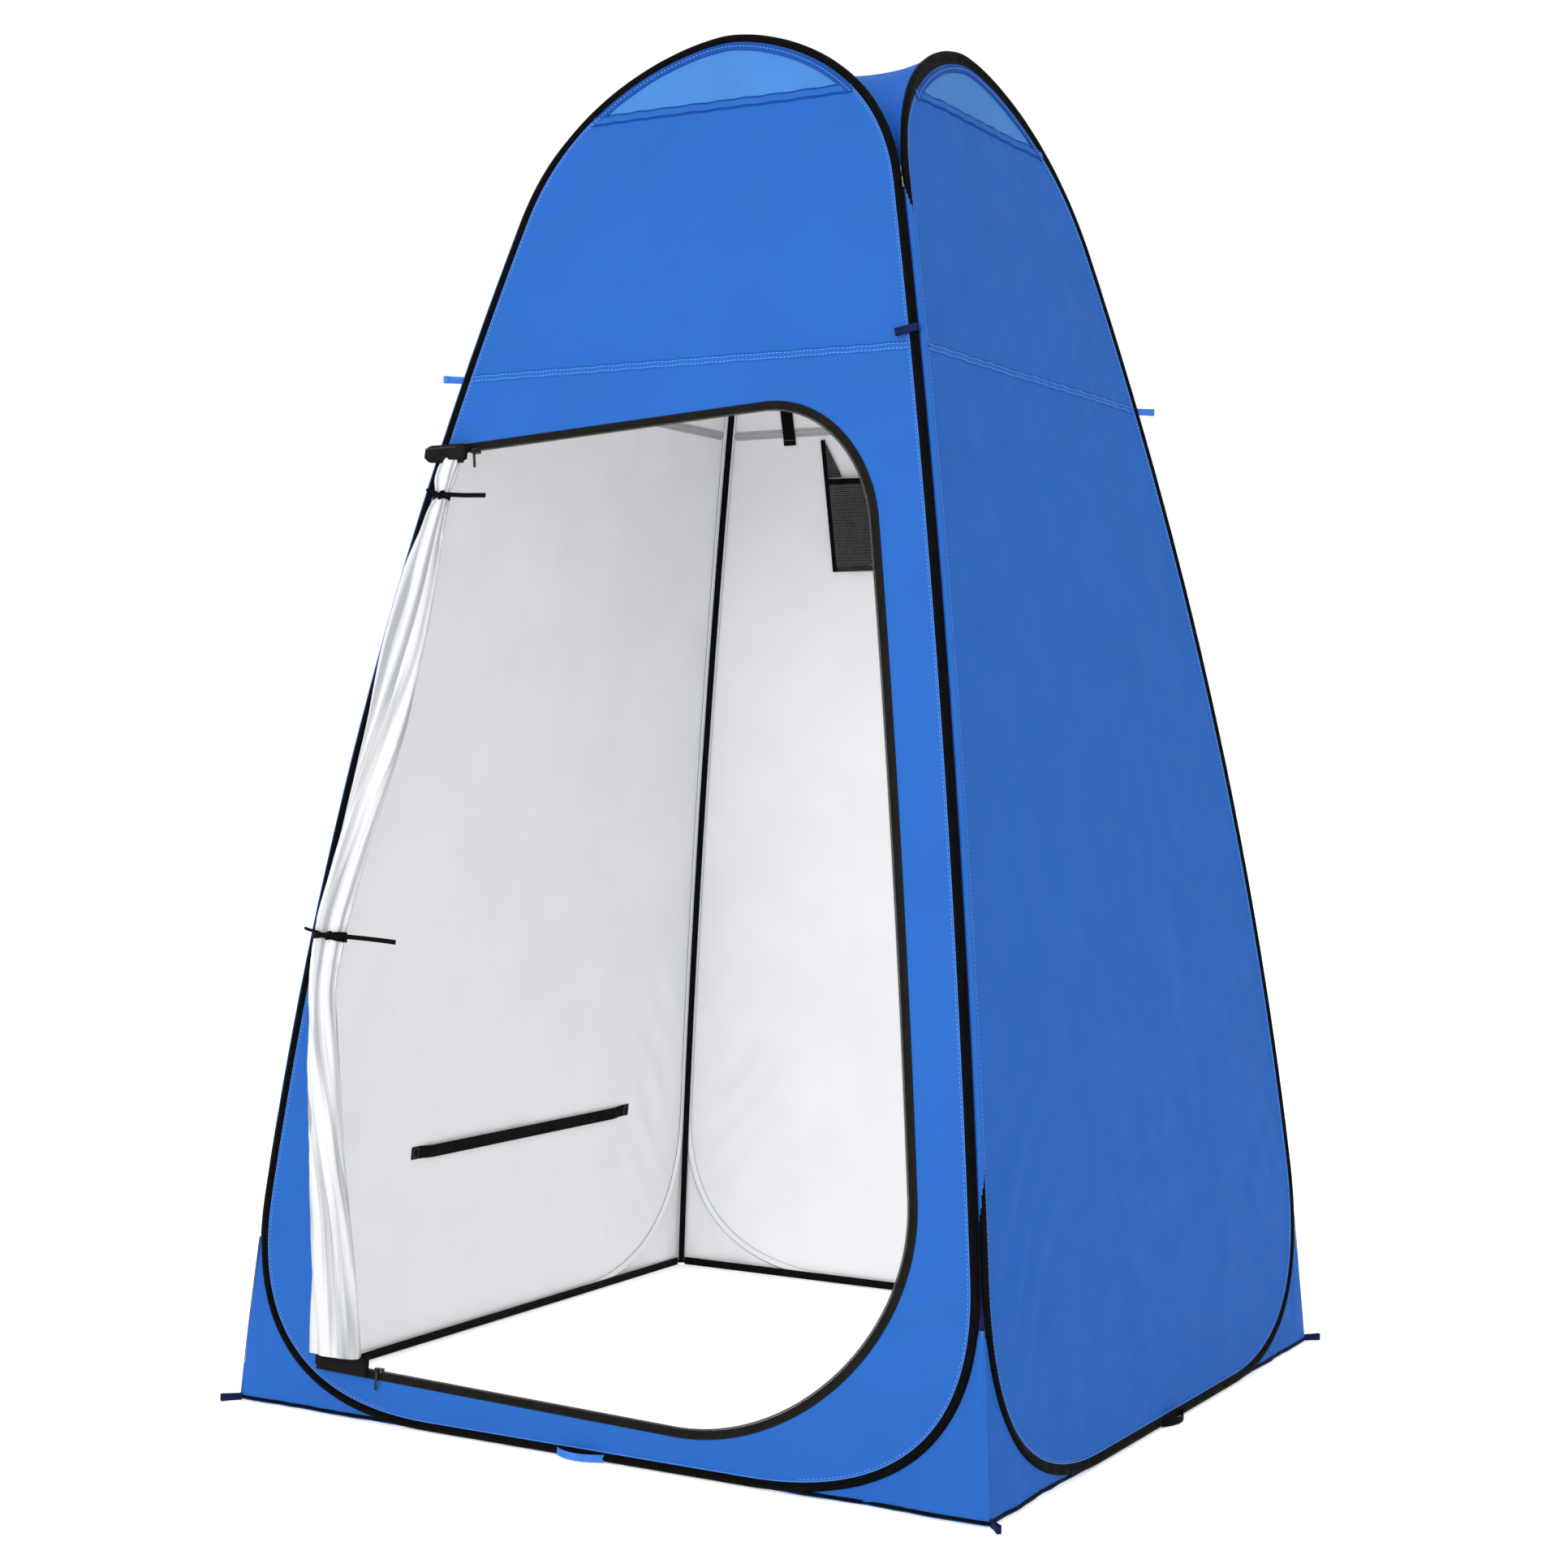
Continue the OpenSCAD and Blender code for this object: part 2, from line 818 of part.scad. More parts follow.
module right_upper_panel() {
    color("royalblue")
        on_wall(1)
            upper_panel();
}

module right_cap_panel() {
    color("dodgerblue")
        on_wall(1)
            cap_panel();
}

module right_sleeve() {
    color("black")
        on_wall(1)
            sleeve();
}

module right_hoop() {
    color("silver")
        on_wall(1)
            hoop();
}

module right_skirt() {
    color("royalblue")
        on_wall(1)
            skirt();
}

module right_crown_gore() {
    color("royalblue")
        on_wall(1)
            crown_gore();
}

module right_stake_loop() {
    color("black")
        on_wall(1)
            stake_loop();
}

module back_lower_panel() {
    color("royalblue")
        on_wall(2)
            lower_panel();
}

module back_upper_panel() {
    color("royalblue")
        on_wall(2)
            upper_panel();
}

module back_cap_panel() {
    color("dodgerblue")
        on_wall(2)
            cap_panel();
}

module back_sleeve() {
    color("black")
        on_wall(2)
            sleeve();
}

module back_hoop() {
    color("silver")
        on_wall(2)
            hoop();
}

module back_skirt() {
    color("royalblue")
        on_wall(2)
            skirt();
}

module back_crown_gore() {
    color("royalblue")
        on_wall(2)
            crown_gore();
}

module back_stake_loop() {
    color("black")
        on_wall(2)
            stake_loop();
}

module left_lower_panel() {
    color("royalblue")
        on_wall(3)
            lower_panel();
}

module left_upper_panel() {
    color("royalblue")
        on_wall(3)
            upper_panel();
}

module left_cap_panel() {
    color("dodgerblue")
        on_wall(3)
            cap_panel();
}

module left_sleeve() {
    color("black")
        on_wall(3)
            sleeve();
}

module left_hoop() {
    color("silver")
        on_wall(3)
            hoop();
}

module left_skirt() {
    color("royalblue")
        on_wall(3)
            skirt();
}

module left_crown_gore() {
    color("royalblue")
        on_wall(3)
            crown_gore();
}

module left_stake_loop() {
    color("black")
        on_wall(3)
            stake_loop();
}

module front_left_corner_tape() {
    color("black")
        on_wall(0)
            mirror([1, 0, 0])
                corner_tape();
}

module front_right_corner_tape() {
    color("black")
        on_wall(1)
            mirror([1, 0, 0])
                corner_tape();
}

module back_right_corner_tape() {
    color("black")
        on_wall(2)
            mirror([1, 0, 0])
                corner_tape();
}

module back_left_corner_tape() {
    color("black")
        on_wall(3)
            mirror([1, 0, 0])
                corner_tape();
}

module front_left_guy_loop() {
    color("navy")
        on_wall(0)
            guy_loop();
}

// This loop lies folded back against the front wall
module front_right_guy_loop() {
    color("navy")
        translate([reach(seam_z) - 4, -reach(seam_z) - sleeve_r - 3.2, seam_z + 22])
            rotate([0, 10, 180])
                webbing_loop(corner_loop_l + 4, corner_loop_w);
}

module back_right_guy_loop() {
    color("navy")
        on_wall(2)
            guy_loop();
}

module back_left_guy_loop() {
    color("navy")
        on_wall(3)
            guy_loop();
}

module front_left_stake_loop() {
    color("black")
        on_wall(0)
            corner_stake_loop();
}

module front_right_stake_loop() {
    color("black")
        on_wall(1)
            corner_stake_loop();
}

module back_right_stake_loop() {
    color("black")
        on_wall(2)
            corner_stake_loop();
}

module back_left_stake_loop() {
    color("black")
        on_wall(3)
            corner_stake_loop();
}

front_lower_panel();
front_upper_panel();
front_cap_panel();
front_sleeve();
front_hoop();
front_skirt();
front_crown_gore();
front_stake_loop();
right_lower_panel();
right_upper_panel();
right_cap_panel();
right_sleeve();
right_hoop();
right_skirt();
right_crown_gore();
right_stake_loop();
back_lower_panel();
back_upper_panel();
back_cap_panel();
back_sleeve();
back_hoop();
back_skirt();
back_crown_gore();
back_stake_loop();
left_lower_panel();
left_upper_panel();
left_cap_panel();
left_sleeve();
left_hoop();
left_skirt();
left_crown_gore();
left_stake_loop();
front_left_corner_tape();
front_right_corner_tape();
back_right_corner_tape();
back_left_corner_tape();
front_left_guy_loop();
front_right_guy_loop();
back_right_guy_loop();
back_left_guy_loop();
front_left_stake_loop();
front_right_stake_loop();
back_right_stake_loop();
back_left_stake_loop();
door_zip_tape();
door_zip_coil();
door_roll();
door_tape_top_fold();
door_tape_bottom_fold();
upper_tie_back();
lower_tie_back();
upper_slider();
upper_pull();
lower_slider();
lower_pull();
towel_strap();
hanging_strap();
pocket_mesh();
pocket_binding();
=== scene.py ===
"""Looks of the pop-up privacy tent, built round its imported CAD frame.

Metres, +Z up, origin at the centre of the base. The front wall faces -Y, and wall k is the front
wall turned k quarter turns about Z: 0 front, 1 right, 2 back, 3 left. A point of a wall is x along
it, its height z, and out, the distance outside the wall's outer face.
"""

import functools
import math

import bmesh
import bpy
import numpy as np
from mathutils import Matrix, Vector
from mathutils.geometry import delaunay_2d_cdt
from mathutils.kdtree import KDTree


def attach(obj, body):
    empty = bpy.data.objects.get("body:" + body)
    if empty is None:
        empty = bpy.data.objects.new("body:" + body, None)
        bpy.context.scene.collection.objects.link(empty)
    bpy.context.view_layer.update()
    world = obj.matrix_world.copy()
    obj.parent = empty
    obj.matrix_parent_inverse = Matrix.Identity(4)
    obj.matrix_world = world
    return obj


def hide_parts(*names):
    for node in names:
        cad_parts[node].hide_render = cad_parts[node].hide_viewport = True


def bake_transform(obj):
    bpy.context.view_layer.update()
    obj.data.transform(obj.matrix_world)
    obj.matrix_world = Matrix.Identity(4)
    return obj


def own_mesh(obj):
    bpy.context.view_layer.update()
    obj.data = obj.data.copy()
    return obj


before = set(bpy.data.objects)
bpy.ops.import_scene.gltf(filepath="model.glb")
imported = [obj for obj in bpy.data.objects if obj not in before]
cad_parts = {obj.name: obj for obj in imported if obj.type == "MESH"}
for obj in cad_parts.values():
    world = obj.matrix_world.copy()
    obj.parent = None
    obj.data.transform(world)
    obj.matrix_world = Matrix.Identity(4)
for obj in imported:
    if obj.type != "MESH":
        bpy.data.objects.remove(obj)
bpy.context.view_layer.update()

# ---- sizes of the frame, as in the CAD ----

WALLS = ("front", "right", "back", "left")
HALF_W, TOP_X, HEIGHT, BOW = 0.600, 0.250, 1.980, 0.055
SEAM_Z, CAP_SEAM_Z = 1.490, 1.872
FABRIC_T = 0.001
SLEEVE_R, SLEEVE_INSET = 0.0055, 0.009
HOOP_FOOT, HOOP_CORNER_Z, HOOP_PART_Z = 0.259, 0.294, 1.727
SILL_Z, HEAD_Z, SILL_RISE, HEAD_DROP = 0.052, 1.421, 0.014, 0.033
DOOR_RIGHT, DOOR_LEFT = 0.090, 0.045
TAPE_T = 0.0012
UPPER_TIE_Z, LOWER_TIE_Z, TIE_W = 1.313, 0.672, 0.008
POCKET_LEFT, POCKET_RIGHT, POCKET_LOW, POCKET_TOP = -0.005, 0.187, 1.257, 1.411

LEAN = math.atan2(HALF_W - TOP_X, HEIGHT)
CHORD = math.hypot(HALF_W - TOP_X, HEIGHT)
ARC_R = (CHORD**2 / 4 + BOW**2) / (2 * BOW)
ARC_X = (HALF_W + TOP_X) / 2 - (ARC_R - BOW) * math.cos(LEAN)
ARC_Z = HEIGHT / 2 - (ARC_R - BOW) * math.sin(LEAN)


def reach(z):
    """Distance from the tent's axis to a wall's outer face at height z."""
    return ARC_X + np.sqrt(ARC_R**2 - (z - ARC_Z) ** 2)


def reach_slope(z):
    return -(z - ARC_Z) / math.sqrt(ARC_R**2 - (z - ARC_Z) ** 2)


def turn_to(wall):
    """Rotation that carries the front wall onto another wall."""
    return Matrix.Rotation(math.radians(90 * wall), 3, "Z")


def on_wall(wall, x, z, out):
    """World points, one a row, for arrays of wall coordinates."""
    x, z, out = np.broadcast_arrays(*(np.asarray(v, float) for v in (x, z, out)))
    tilt = np.arcsin((z - ARC_Z) / ARC_R)
    local = np.stack([x, -reach(z) - out * np.cos(tilt), z + out * np.sin(tilt)], axis=-1)
    return local @ np.array(turn_to(wall)).T


def turned(wall, vector):
    """A direction of the front wall as it is on another wall."""
    return turn_to(wall) @ Vector(vector)


def up_the_wall(wall, x, z, out):
    """Upward directions along a wall at its points."""
    return on_wall(wall, x, z + 0.005, out) - on_wall(wall, x, z - 0.005, out)


# ---- outlines, as [x, z] rows seen from outside a wall ----


def bezier(a, b, c, d, n):
    t = np.linspace(0, 1, n + 1)[:, None]
    s = 1 - t
    a, b, c, d = (np.asarray(p, float) for p in (a, b, c, d))
    return s**3 * a + 3 * s * s * t * b + 3 * s * t * t * c + t**3 * d


def resampled(points, spacing, closed=False):
    """The same line with evenly spaced points."""
    points = np.asarray(points, float)
    if closed:
        points = np.vstack([points, points[:1]])
    along = np.concatenate([[0], np.cumsum(np.linalg.norm(np.diff(points, axis=0), axis=1))])
    n = max(2, int(round(along[-1] / spacing)))
    at = np.linspace(0, along[-1], n + 1)
    line = np.stack([np.interp(at, along, points[:, k]) for k in range(points.shape[1])], axis=1)
    return line[:-1] if closed else line


def normals(path, closed):
    """Unit normal to the right of travel at each point of a line in the wall."""
    ahead = np.roll(path, -1, axis=0) - path
    behind = path - np.roll(path, 1, axis=0)
    if not closed:
        ahead[-1] = behind[-1]
        behind[0] = ahead[0]
    along = ahead / np.linalg.norm(ahead, axis=1)[:, None] + behind / np.linalg.norm(behind, axis=1)[:, None]
    along /= np.linalg.norm(along, axis=1)[:, None]
    return np.stack([along[:, 1], -along[:, 0]], axis=1)


def moved(path, distance, closed=True):
    """The outline moved out by distance, or in where it is negative."""
    return path + distance * normals(path, closed)


def edge(low, high, inset, n):
    """Right-hand corner edge of a wall, moved in by inset."""
    z = np.linspace(low, high, n + 1)
    return np.stack([reach(z) - inset, z], axis=1)


def hoop_half():
    """Right half of a hoop's centre line, from the bottom to the top."""
    knee = np.array([reach(HOOP_CORNER_Z) - SLEEVE_INSET, HOOP_CORNER_Z])
    shoulder = np.array([reach(HOOP_PART_Z) - SLEEVE_INSET, HOOP_PART_Z])
    foot = np.array([HOOP_FOOT, SLEEVE_R])
    apex = np.array([0, HEIGHT - SLEEVE_R])
    rise = apex[1] - HOOP_PART_Z
    corner = bezier(
        foot,
        foot + [(knee[0] - foot[0]) * 0.68, 0],
        knee - 0.68 * (HOOP_CORNER_Z - SLEEVE_R) * np.array([reach_slope(HOOP_CORNER_Z), 1]),
        knee,
        40,
    )
    arch = bezier(
        shoulder,
        shoulder + 0.8 * rise * np.array([reach_slope(HOOP_PART_Z), 1]),
        [0.2 * shoulder[0], apex[1]],
        apex,
        60,
    )
    side = edge(HOOP_CORNER_Z, HOOP_PART_Z, SLEEVE_INSET, 60)
    return np.vstack([[[0, SLEEVE_R]], corner, side[1:-1], arch])


def hoop_outline(spacing=0.008):
    right = hoop_half()
    left = right[-2:0:-1] * [-1, 1]
    return resampled(np.vstack([right, left]), spacing, closed=True)


def door_left_x(z):
    """Distance from the tent's axis to the left edge of the doorway."""
    return reach(z) - DOOR_LEFT - np.maximum(0, 0.450 - z) ** 2 / 1.7


def door_run(inset, left=0.0):
    """The doorway's sewn side: from the bottom left, round the right, to the top left."""
    sill, head, right_inset = SILL_Z + inset, HEAD_Z - inset, DOOR_RIGHT + inset
    knee = np.array([reach(0.383) - right_inset, 0.383])
    shoulder = np.array([reach(1.255) - right_inset, 1.255])
    return np.vstack([
        [[-door_left_x(SILL_Z) - left, sill + SILL_RISE]],
        bezier([0.150, sill], [0.330, sill], knee - 0.170 * np.array([reach_slope(0.383), 1]), knee, 30),
        edge(0.383, 1.255, right_inset, 20)[1:-1],
        bezier(
            shoulder,
            shoulder + 0.090 * np.array([reach_slope(1.255), 1]),
            [0.240, head + 0.006],
            [0.146, head],
            30,
        ),
        [[-door_left_x(HEAD_Z) - left, head - HEAD_DROP]],
    ])


def door_outline(inset, left=0.0):
    z = np.linspace(1.38, 0.07, 60)
    return np.vstack([door_run(inset, left), np.stack([-door_left_x(z) - left, z], axis=1)])


def inside(points, outline):
    """Whether each point lies within the closed outline."""
    x, z = points[:, 0], points[:, 1]
    hit = np.zeros(len(points), bool)
    for (ax, az), (bx, bz) in zip(outline, np.roll(outline, -1, axis=0)):
        if az != bz:
            crosses = (az > z) != (bz > z)
            hit ^= crosses & (x < (bx - ax) * (z - az) / (bz - az) + ax)
    return hit


# ---- smooth pseudo-random heights ----


def ripple(x, z, size, seed, waves=6):
    """Gentle noise between about -1 and 1, made of a few seeded waves of the given size."""
    rng = np.random.default_rng(seed)
    total = np.zeros(np.broadcast(x, z).shape)
    for _ in range(waves):
        angle, phase = rng.uniform(0, 2 * math.pi, 2)
        k = 2 * math.pi / (size * rng.uniform(0.7, 1.6))
        total = total + np.sin(k * (x * math.cos(angle) + z * math.sin(angle)) + phase)
    return total / waves * 1.6


def smoothstep(low, high, value):
    t = np.clip((value - low) / (high - low), 0, 1)
    return t * t * (3 - 2 * t)


# ---- materials ----


def rgb(red, green, blue):
    """Linear colour from display values of 0 to 255."""
    values = (red / 255, green / 255, blue / 255)
    return tuple(((c + 0.055) / 1.055) ** 2.4 if c > 0.04 else c / 12.92 for c in values)


class Shader:
    """A material's node tree, with short calls to add and link its nodes."""

    def __init__(self, name, roughness=0.6, metallic=0.0, sheen=0.0, specular=0.5):
        self.material = bpy.data.materials.new(name)
        self.material.use_nodes = True
        self.tree = self.material.node_tree
        self.bsdf = self.tree.nodes["Principled BSDF"]
        self.bsdf.inputs["Roughness"].default_value = roughness
        self.bsdf.inputs["Metallic"].default_value = metallic
        self.bsdf.inputs["Sheen Weight"].default_value = sheen
        self.bsdf.inputs["Specular IOR Level"].default_value = specular

    def add(self, kind, settings=None, **inputs):
        made = self.tree.nodes.new("ShaderNode" + kind)
        for key, value in (settings or {}).items():
            setattr(made, key, value)
        for key, value in inputs.items():
            socket = made.inputs[key.replace("_", " ")]
            if isinstance(value, bpy.types.NodeSocket):
                self.tree.links.new(value, socket)
            else:
                socket.default_value = value
        return made

    def math(self, operation, a, b):
        made = self.tree.nodes.new("ShaderNodeMath")
        made.operation = operation
        for socket, value in zip(made.inputs, (a, b)):
            if isinstance(value, bpy.types.NodeSocket):
                self.tree.links.new(value, socket)
            else:
                socket.default_value = value
        return made.outputs[0]

    def plug(self, socket_name, output):
        self.tree.links.new(output, self.bsdf.inputs[socket_name])

    def noise(self, scale, detail=3.0, stretch=(1, 1, 1)):
        place = self.add("TexCoord").outputs["Object"]
        spread = self.add("Mapping", Vector=place, Scale=stretch).outputs[0]
        return self.add("TexNoise", Vector=spread, Scale=scale, Detail=detail).outputs["Fac"]

    def varied(self, socket_name, fac, low, high):
        ramp = self.add("MapRange", {"clamp": True}, Value=fac)
        for key, value in (("From Min", 0.3), ("From Max", 0.7), ("To Min", low), ("To Max", high)):
            ramp.inputs[key].default_value = value
        self.plug(socket_name, ramp.outputs[0])

    def coloured(self, fac, dark, light):
        ramp = self.add("ValToRGB", Fac=fac)
        ramp.color_ramp.elements[0].position = 0.3
        ramp.color_ramp.elements[1].position = 0.7
        ramp.color_ramp.elements[0].color = (*dark, 1)
        ramp.color_ramp.elements[1].color = (*light, 1)
        self.plug("Base Color", ramp.outputs[0])

    def bumps(self, *layers):
        """Stacked bumps, each a height and its depth in metres."""
        normal = None
        for height, depth in layers:
            extra = {"Normal": normal} if normal else {}
            normal = self.add("Bump", Height=height, Distance=depth, Strength=1.0, **extra).outputs[0]
        self.plug("Normal", normal)


def threads(shader, across, along):
    """Height of a plain weave with the given thread pitches, in metres, laid by the piece's own map."""
    uv = shader.add("UVMap", {"uv_map": "weave"}).outputs[0]
    heights = [
        shader.add(
            "TexWave", {"bands_direction": direction}, Vector=uv, Scale=math.pi / 10 / pitch
        ).outputs["Fac"]
        for direction, pitch in (("X", across), ("Y", along))
    ]
    return shader.math("MAXIMUM", *heights)


def fabric(name, colour, spread=0.03, pitch=0.0011, roughness=0.62, crumple=0.0004, glow=0.0):
    """Thin woven cloth: weave, soft crumples, and slight changes of colour and gloss.
    Glow is painted light: an even emission that stands in for the light that comes through the wall behind a
    lining."""
    shader = Shader(name, roughness, specular=0.03)
    shader.bsdf.inputs["Emission Color"].default_value = (1, 1, 1, 1)
    shader.bsdf.inputs["Emission Strength"].default_value = glow
    blotch = shader.noise(7)
    dark = tuple(c * (1 - spread) for c in colour)
    light = tuple(min(1, c * (1 + spread)) for c in colour)
    shader.coloured(blotch, dark, light)
    shader.varied("Roughness", shader.noise(22), roughness - 0.08, roughness + 0.08)
    shader.bumps((shader.noise(26, 4), crumple), (threads(shader, pitch, pitch), 0.00006))
    return shader.material


def creased(name, colour, crease_shade_colour):
    """Satin cloth gathered lengthwise, with long creases whose shade is painted into its colour as darker
    streaks.
    """
    shader = Shader(name, 0.4, specular=0.2)
    uv = shader.add("UVMap", {"uv_map": "weave"}).outputs[0]
    lengthwise = shader.add("Mapping", Vector=uv, Scale=(1, 0.025, 1)).outputs[0]
    creases = shader.add("TexNoise", Vector=lengthwise, Scale=95.0, Detail=2.0).outputs["Fac"]
    # Painted shade: the crease streaks take the darker colour.
    ramp = shader.add("ValToRGB", Fac=creases)
    ramp.color_ramp.elements[0].position = 0.36
    ramp.color_ramp.elements[1].position = 0.52
    ramp.color_ramp.elements[0].color = (*crease_shade_colour, 1)
    ramp.color_ramp.elements[1].color = (*colour, 1)
    shader.plug("Base Color", ramp.outputs[0])
    shader.varied("Roughness", shader.noise(22), 0.32, 0.48)
    shader.bumps((creases, 0.006), (shader.noise(26, 4), 0.0005), (threads(shader, 0.0011, 0.0011), 0.00006))
    return shader.material


def webbing(name, colour, rib=0.0024, roughness=0.7):
    """Ribbed narrow fabric, paler in random patches on its raised ribs."""
    shader = Shader(name, roughness, specular=0.05)
    ribs = threads(shader, rib, rib / 2)
    pale_rib_patches = shader.math("MULTIPLY", ribs, shader.noise(60))
    shader.coloured(pale_rib_patches, colour, tuple(c * 1.6 + 0.001 for c in colour))
    shader.varied("Roughness", shader.noise(80), roughness - 0.1, roughness + 0.1)
    shader.bumps((shader.noise(120), 0.0002), (ribs, 0.00025))
    return shader.material


def moulded(name, colour, roughness, metallic=0.0, wear=(0.3, 0.3, 0.3)):
    """Painted metal or nylon with fine scratches that show a paler ground."""
    shader = Shader(name, roughness, metallic, specular=0.5)
    scratches = shader.noise(420, 2, (1, 1, 0.15))
    ramp = shader.add("ValToRGB", Fac=scratches)
    ramp.color_ramp.elements[0].position = 0.62
    ramp.color_ramp.elements[1].position = 0.74
    ramp.color_ramp.elements[0].color = (*colour, 1)
    ramp.color_ramp.elements[1].color = (*wear, 1)
    shader.plug("Base Color", ramp.outputs[0])
    shader.varied("Roughness", shader.noise(160), roughness - 0.1, roughness + 0.12)
    shader.bumps((shader.noise(300), 0.00008))
    return shader.material


def open_mesh(name, colour, pitch=0.0032):
    """Knitted net: round holes in rows, cut out of the cloth by the piece's own map."""
    shader = Shader(name, 0.75, sheen=0.2, specular=0.3)
    height = threads(shader, pitch, pitch)
    shader.coloured(shader.noise(30), colour, tuple(c * 2.2 for c in colour))
    shader.bumps((height, 0.0004))
    solid = shader.math("GREATER_THAN", height, 0.34)
    shader.plug("Alpha", solid)
    return shader.material


BLUE = fabric("blue_fabric", rgb(40, 93, 171))
CAP_BLUE = fabric("cap_fabric", rgb(66, 121, 186), spread=0.09, roughness=0.5, crumple=0.0009)
CROWN_BLUE = fabric("crown_fabric", rgb(38, 100, 190))
HEM_BLUE = fabric("hem_fabric", rgb(28, 72, 146), crumple=0.0003)
# Paler blue than the wall's cloth for the small fold beside each binding: a painted highlight along the fold.
FOLD_HIGHLIGHT_BLUE = fabric("edge_fold_painted_highlight", rgb(68, 122, 198), crumple=0.0002)
# The silver lining glows a little: painted light for the light that comes through the walls.
SILVER = fabric("silver_lining", rgb(222, 223, 225), spread=0.03, roughness=0.5, crumple=0.0004, glow=0.07)
# Its second colour is painted shade in the gathered door's creases.
DOOR_SILVER = creased("door_lining", rgb(206, 207, 209), rgb(150, 152, 156))
# The lining's seam tape glows a little too: painted light.
LINING_SEAM = fabric("lining_seam", rgb(168, 170, 174), spread=0.04, crumple=0.0002, glow=0.02)
BINDING = webbing("sleeve_binding", rgb(3, 3, 4), rib=0.0016)
BLACK_WEB = webbing("black_webbing", rgb(5, 5, 6))
NAVY_WEB = webbing("navy_webbing", rgb(16, 26, 62))
BLUE_WEB = webbing("blue_webbing", rgb(58, 112, 192))
ZIP_TAPE = webbing("zip_tape", rgb(22, 21, 19), rib=0.0012)
COIL = moulded("zip_coil", rgb(50, 48, 42), 0.4, wear=rgb(96, 94, 88))
SLIDER = moulded("slider_paint", rgb(34, 34, 36), 0.35, 0.6, wear=rgb(150, 150, 150))
STEEL = moulded("spring_steel", rgb(150, 152, 156), 0.3, 1.0, wear=rgb(190, 190, 190))
LIGHT_THREAD = webbing("light_thread", rgb(112, 156, 224), rib=0.0008)
DARK_THREAD = webbing("dark_thread", rgb(18, 44, 104), rib=0.0008)
GREY_THREAD = webbing("grey_thread", rgb(140, 142, 146), rib=0.0008)
BLACK_THREAD = webbing("black_thread", rgb(40, 40, 42), rib=0.0008)
NET = open_mesh("pocket_net", rgb(20, 20, 22))

# ---- mesh building ----


class Piece:
    """Collects closed parts, each with its own material, into one mesh object."""

    def __init__(self, name, *materials):
        self.name, self.materials = name, materials
        self.verts, self.faces, self.uvs, self.slots = [], [], [], []
        self.count = 0

    def add(self, verts, faces, uvs=None, slot=0):
        verts = np.asarray(verts, float).reshape(-1, 3)
        start, self.count = self.count, self.count + len(verts)
        self.verts.append(verts)
        self.uvs.append(np.zeros((len(verts), 2)) if uvs is None else np.asarray(uvs, float))
        self.faces.extend([tuple(i + start for i in face) for face in faces])
        slots = [slot] * len(faces) if isinstance(slot, int) else list(slot)
        self.slots.extend(slots)
        return self

    def build(self, body=None, slot=None, replaces=(), sharp=50):
        mesh = bpy.data.meshes.new(self.name)
        mesh.from_pydata(np.vstack(self.verts).tolist(), [], self.faces)
        for material in self.materials:
            mesh.materials.append(material)
        mesh.polygons.foreach_set("material_index", self.slots)
        corner = np.empty(len(mesh.loops), int)
        mesh.loops.foreach_get("vertex_index", corner)
        uvs = mesh.uv_layers.new(name="weave")
        uvs.data.foreach_set("uv", np.vstack(self.uvs)[corner].ravel())
        work = bmesh.new()
        work.from_mesh(mesh)
        bmesh.ops.recalc_face_normals(work, faces=work.faces)
        work.to_mesh(mesh)
        work.free()
        mesh.shade_smooth()
        mesh.set_sharp_from_angle(angle=math.radians(sharp))
        made = bpy.data.objects.new(self.name, mesh)
        bpy.context.scene.collection.objects.link(made)
        if body:
            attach(made, body)
        if replaces:
            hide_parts(*replaces)
        return made


def tube_faces(rings, sides, closed):
    """Quads of a tube of rings, with end caps where it is open."""
    faces = []
    for i in range(rings if closed else rings - 1):
        near, far = i * sides, (i + 1) % rings * sides
        faces += [(near + k, near + (k + 1) % sides, far + (k + 1) % sides, far + k) for k in range(sides)]
    if not closed:
        faces += [tuple(range(sides)), tuple(range((rings - 1) * sides, rings * sides))]
    return faces


def lengths(points):
    """Distance travelled at each point of a line."""
    steps = np.linalg.norm(np.diff(points, axis=0), axis=1)
    return np.concatenate([[0], np.cumsum(steps)])


def wall_sweep(piece, wall, path, profile, closed=False, out=0.0, slot=0, wobble=0.0):
    """Sweeps a closed profile of (across, out) rows along a line in a wall.
    The profile may be a function of the distance along the line. Across is to the right of travel.
    The material slot may be a function of the ring and the side of the profile."""
    side = normals(path, closed)
    along = lengths(path)
    out = np.broadcast_to(out, len(path))
    sections = np.array([profile(s) if callable(profile) else profile for s in along], float)
    if wobble:
        seed = len(path)
        sections = sections * (1 + wobble * ripple(along, 0 * along, 0.03, seed)[:, None, None])
    x = path[:, :1] + side[:, :1] * sections[:, :, 0]
    z = path[:, 1:] + side[:, 1:] * sections[:, :, 0]
    verts = on_wall(wall, x, z, out[:, None] + sections[:, :, 1])
    sides = sections.shape[1]
    girth = lengths(sections[0])
    uvs = np.stack(np.meshgrid(along, girth, indexing="ij"), axis=-1)
    faces = tube_faces(len(path), sides, closed)
    if callable(slot):
        slot = [slot(i // sides, i % sides) for i in range(len(faces))]
    return piece.add(verts, faces, uvs.reshape(-1, 2), slot)


def band_profile(inner, outer, low, high, edge_drop=0.0004):
    """Flat strip between two offsets across and two heights, with rounded long edges."""
    soft = min(0.0015, (outer - inner) / 4)
    return [
        (inner, low),
        (inner, high - edge_drop),
        (inner + soft, high),
        (outer - soft, high),
        (outer, high - edge_drop),
        (outer, low),
    ]


def round_profile(radius, sides=8, across=0.0, out=0.0):
    turn = np.linspace(0, 2 * math.pi, sides, endpoint=False)
    return np.stack([across + radius * np.cos(turn), out + radius * np.sin(turn)], axis=1)


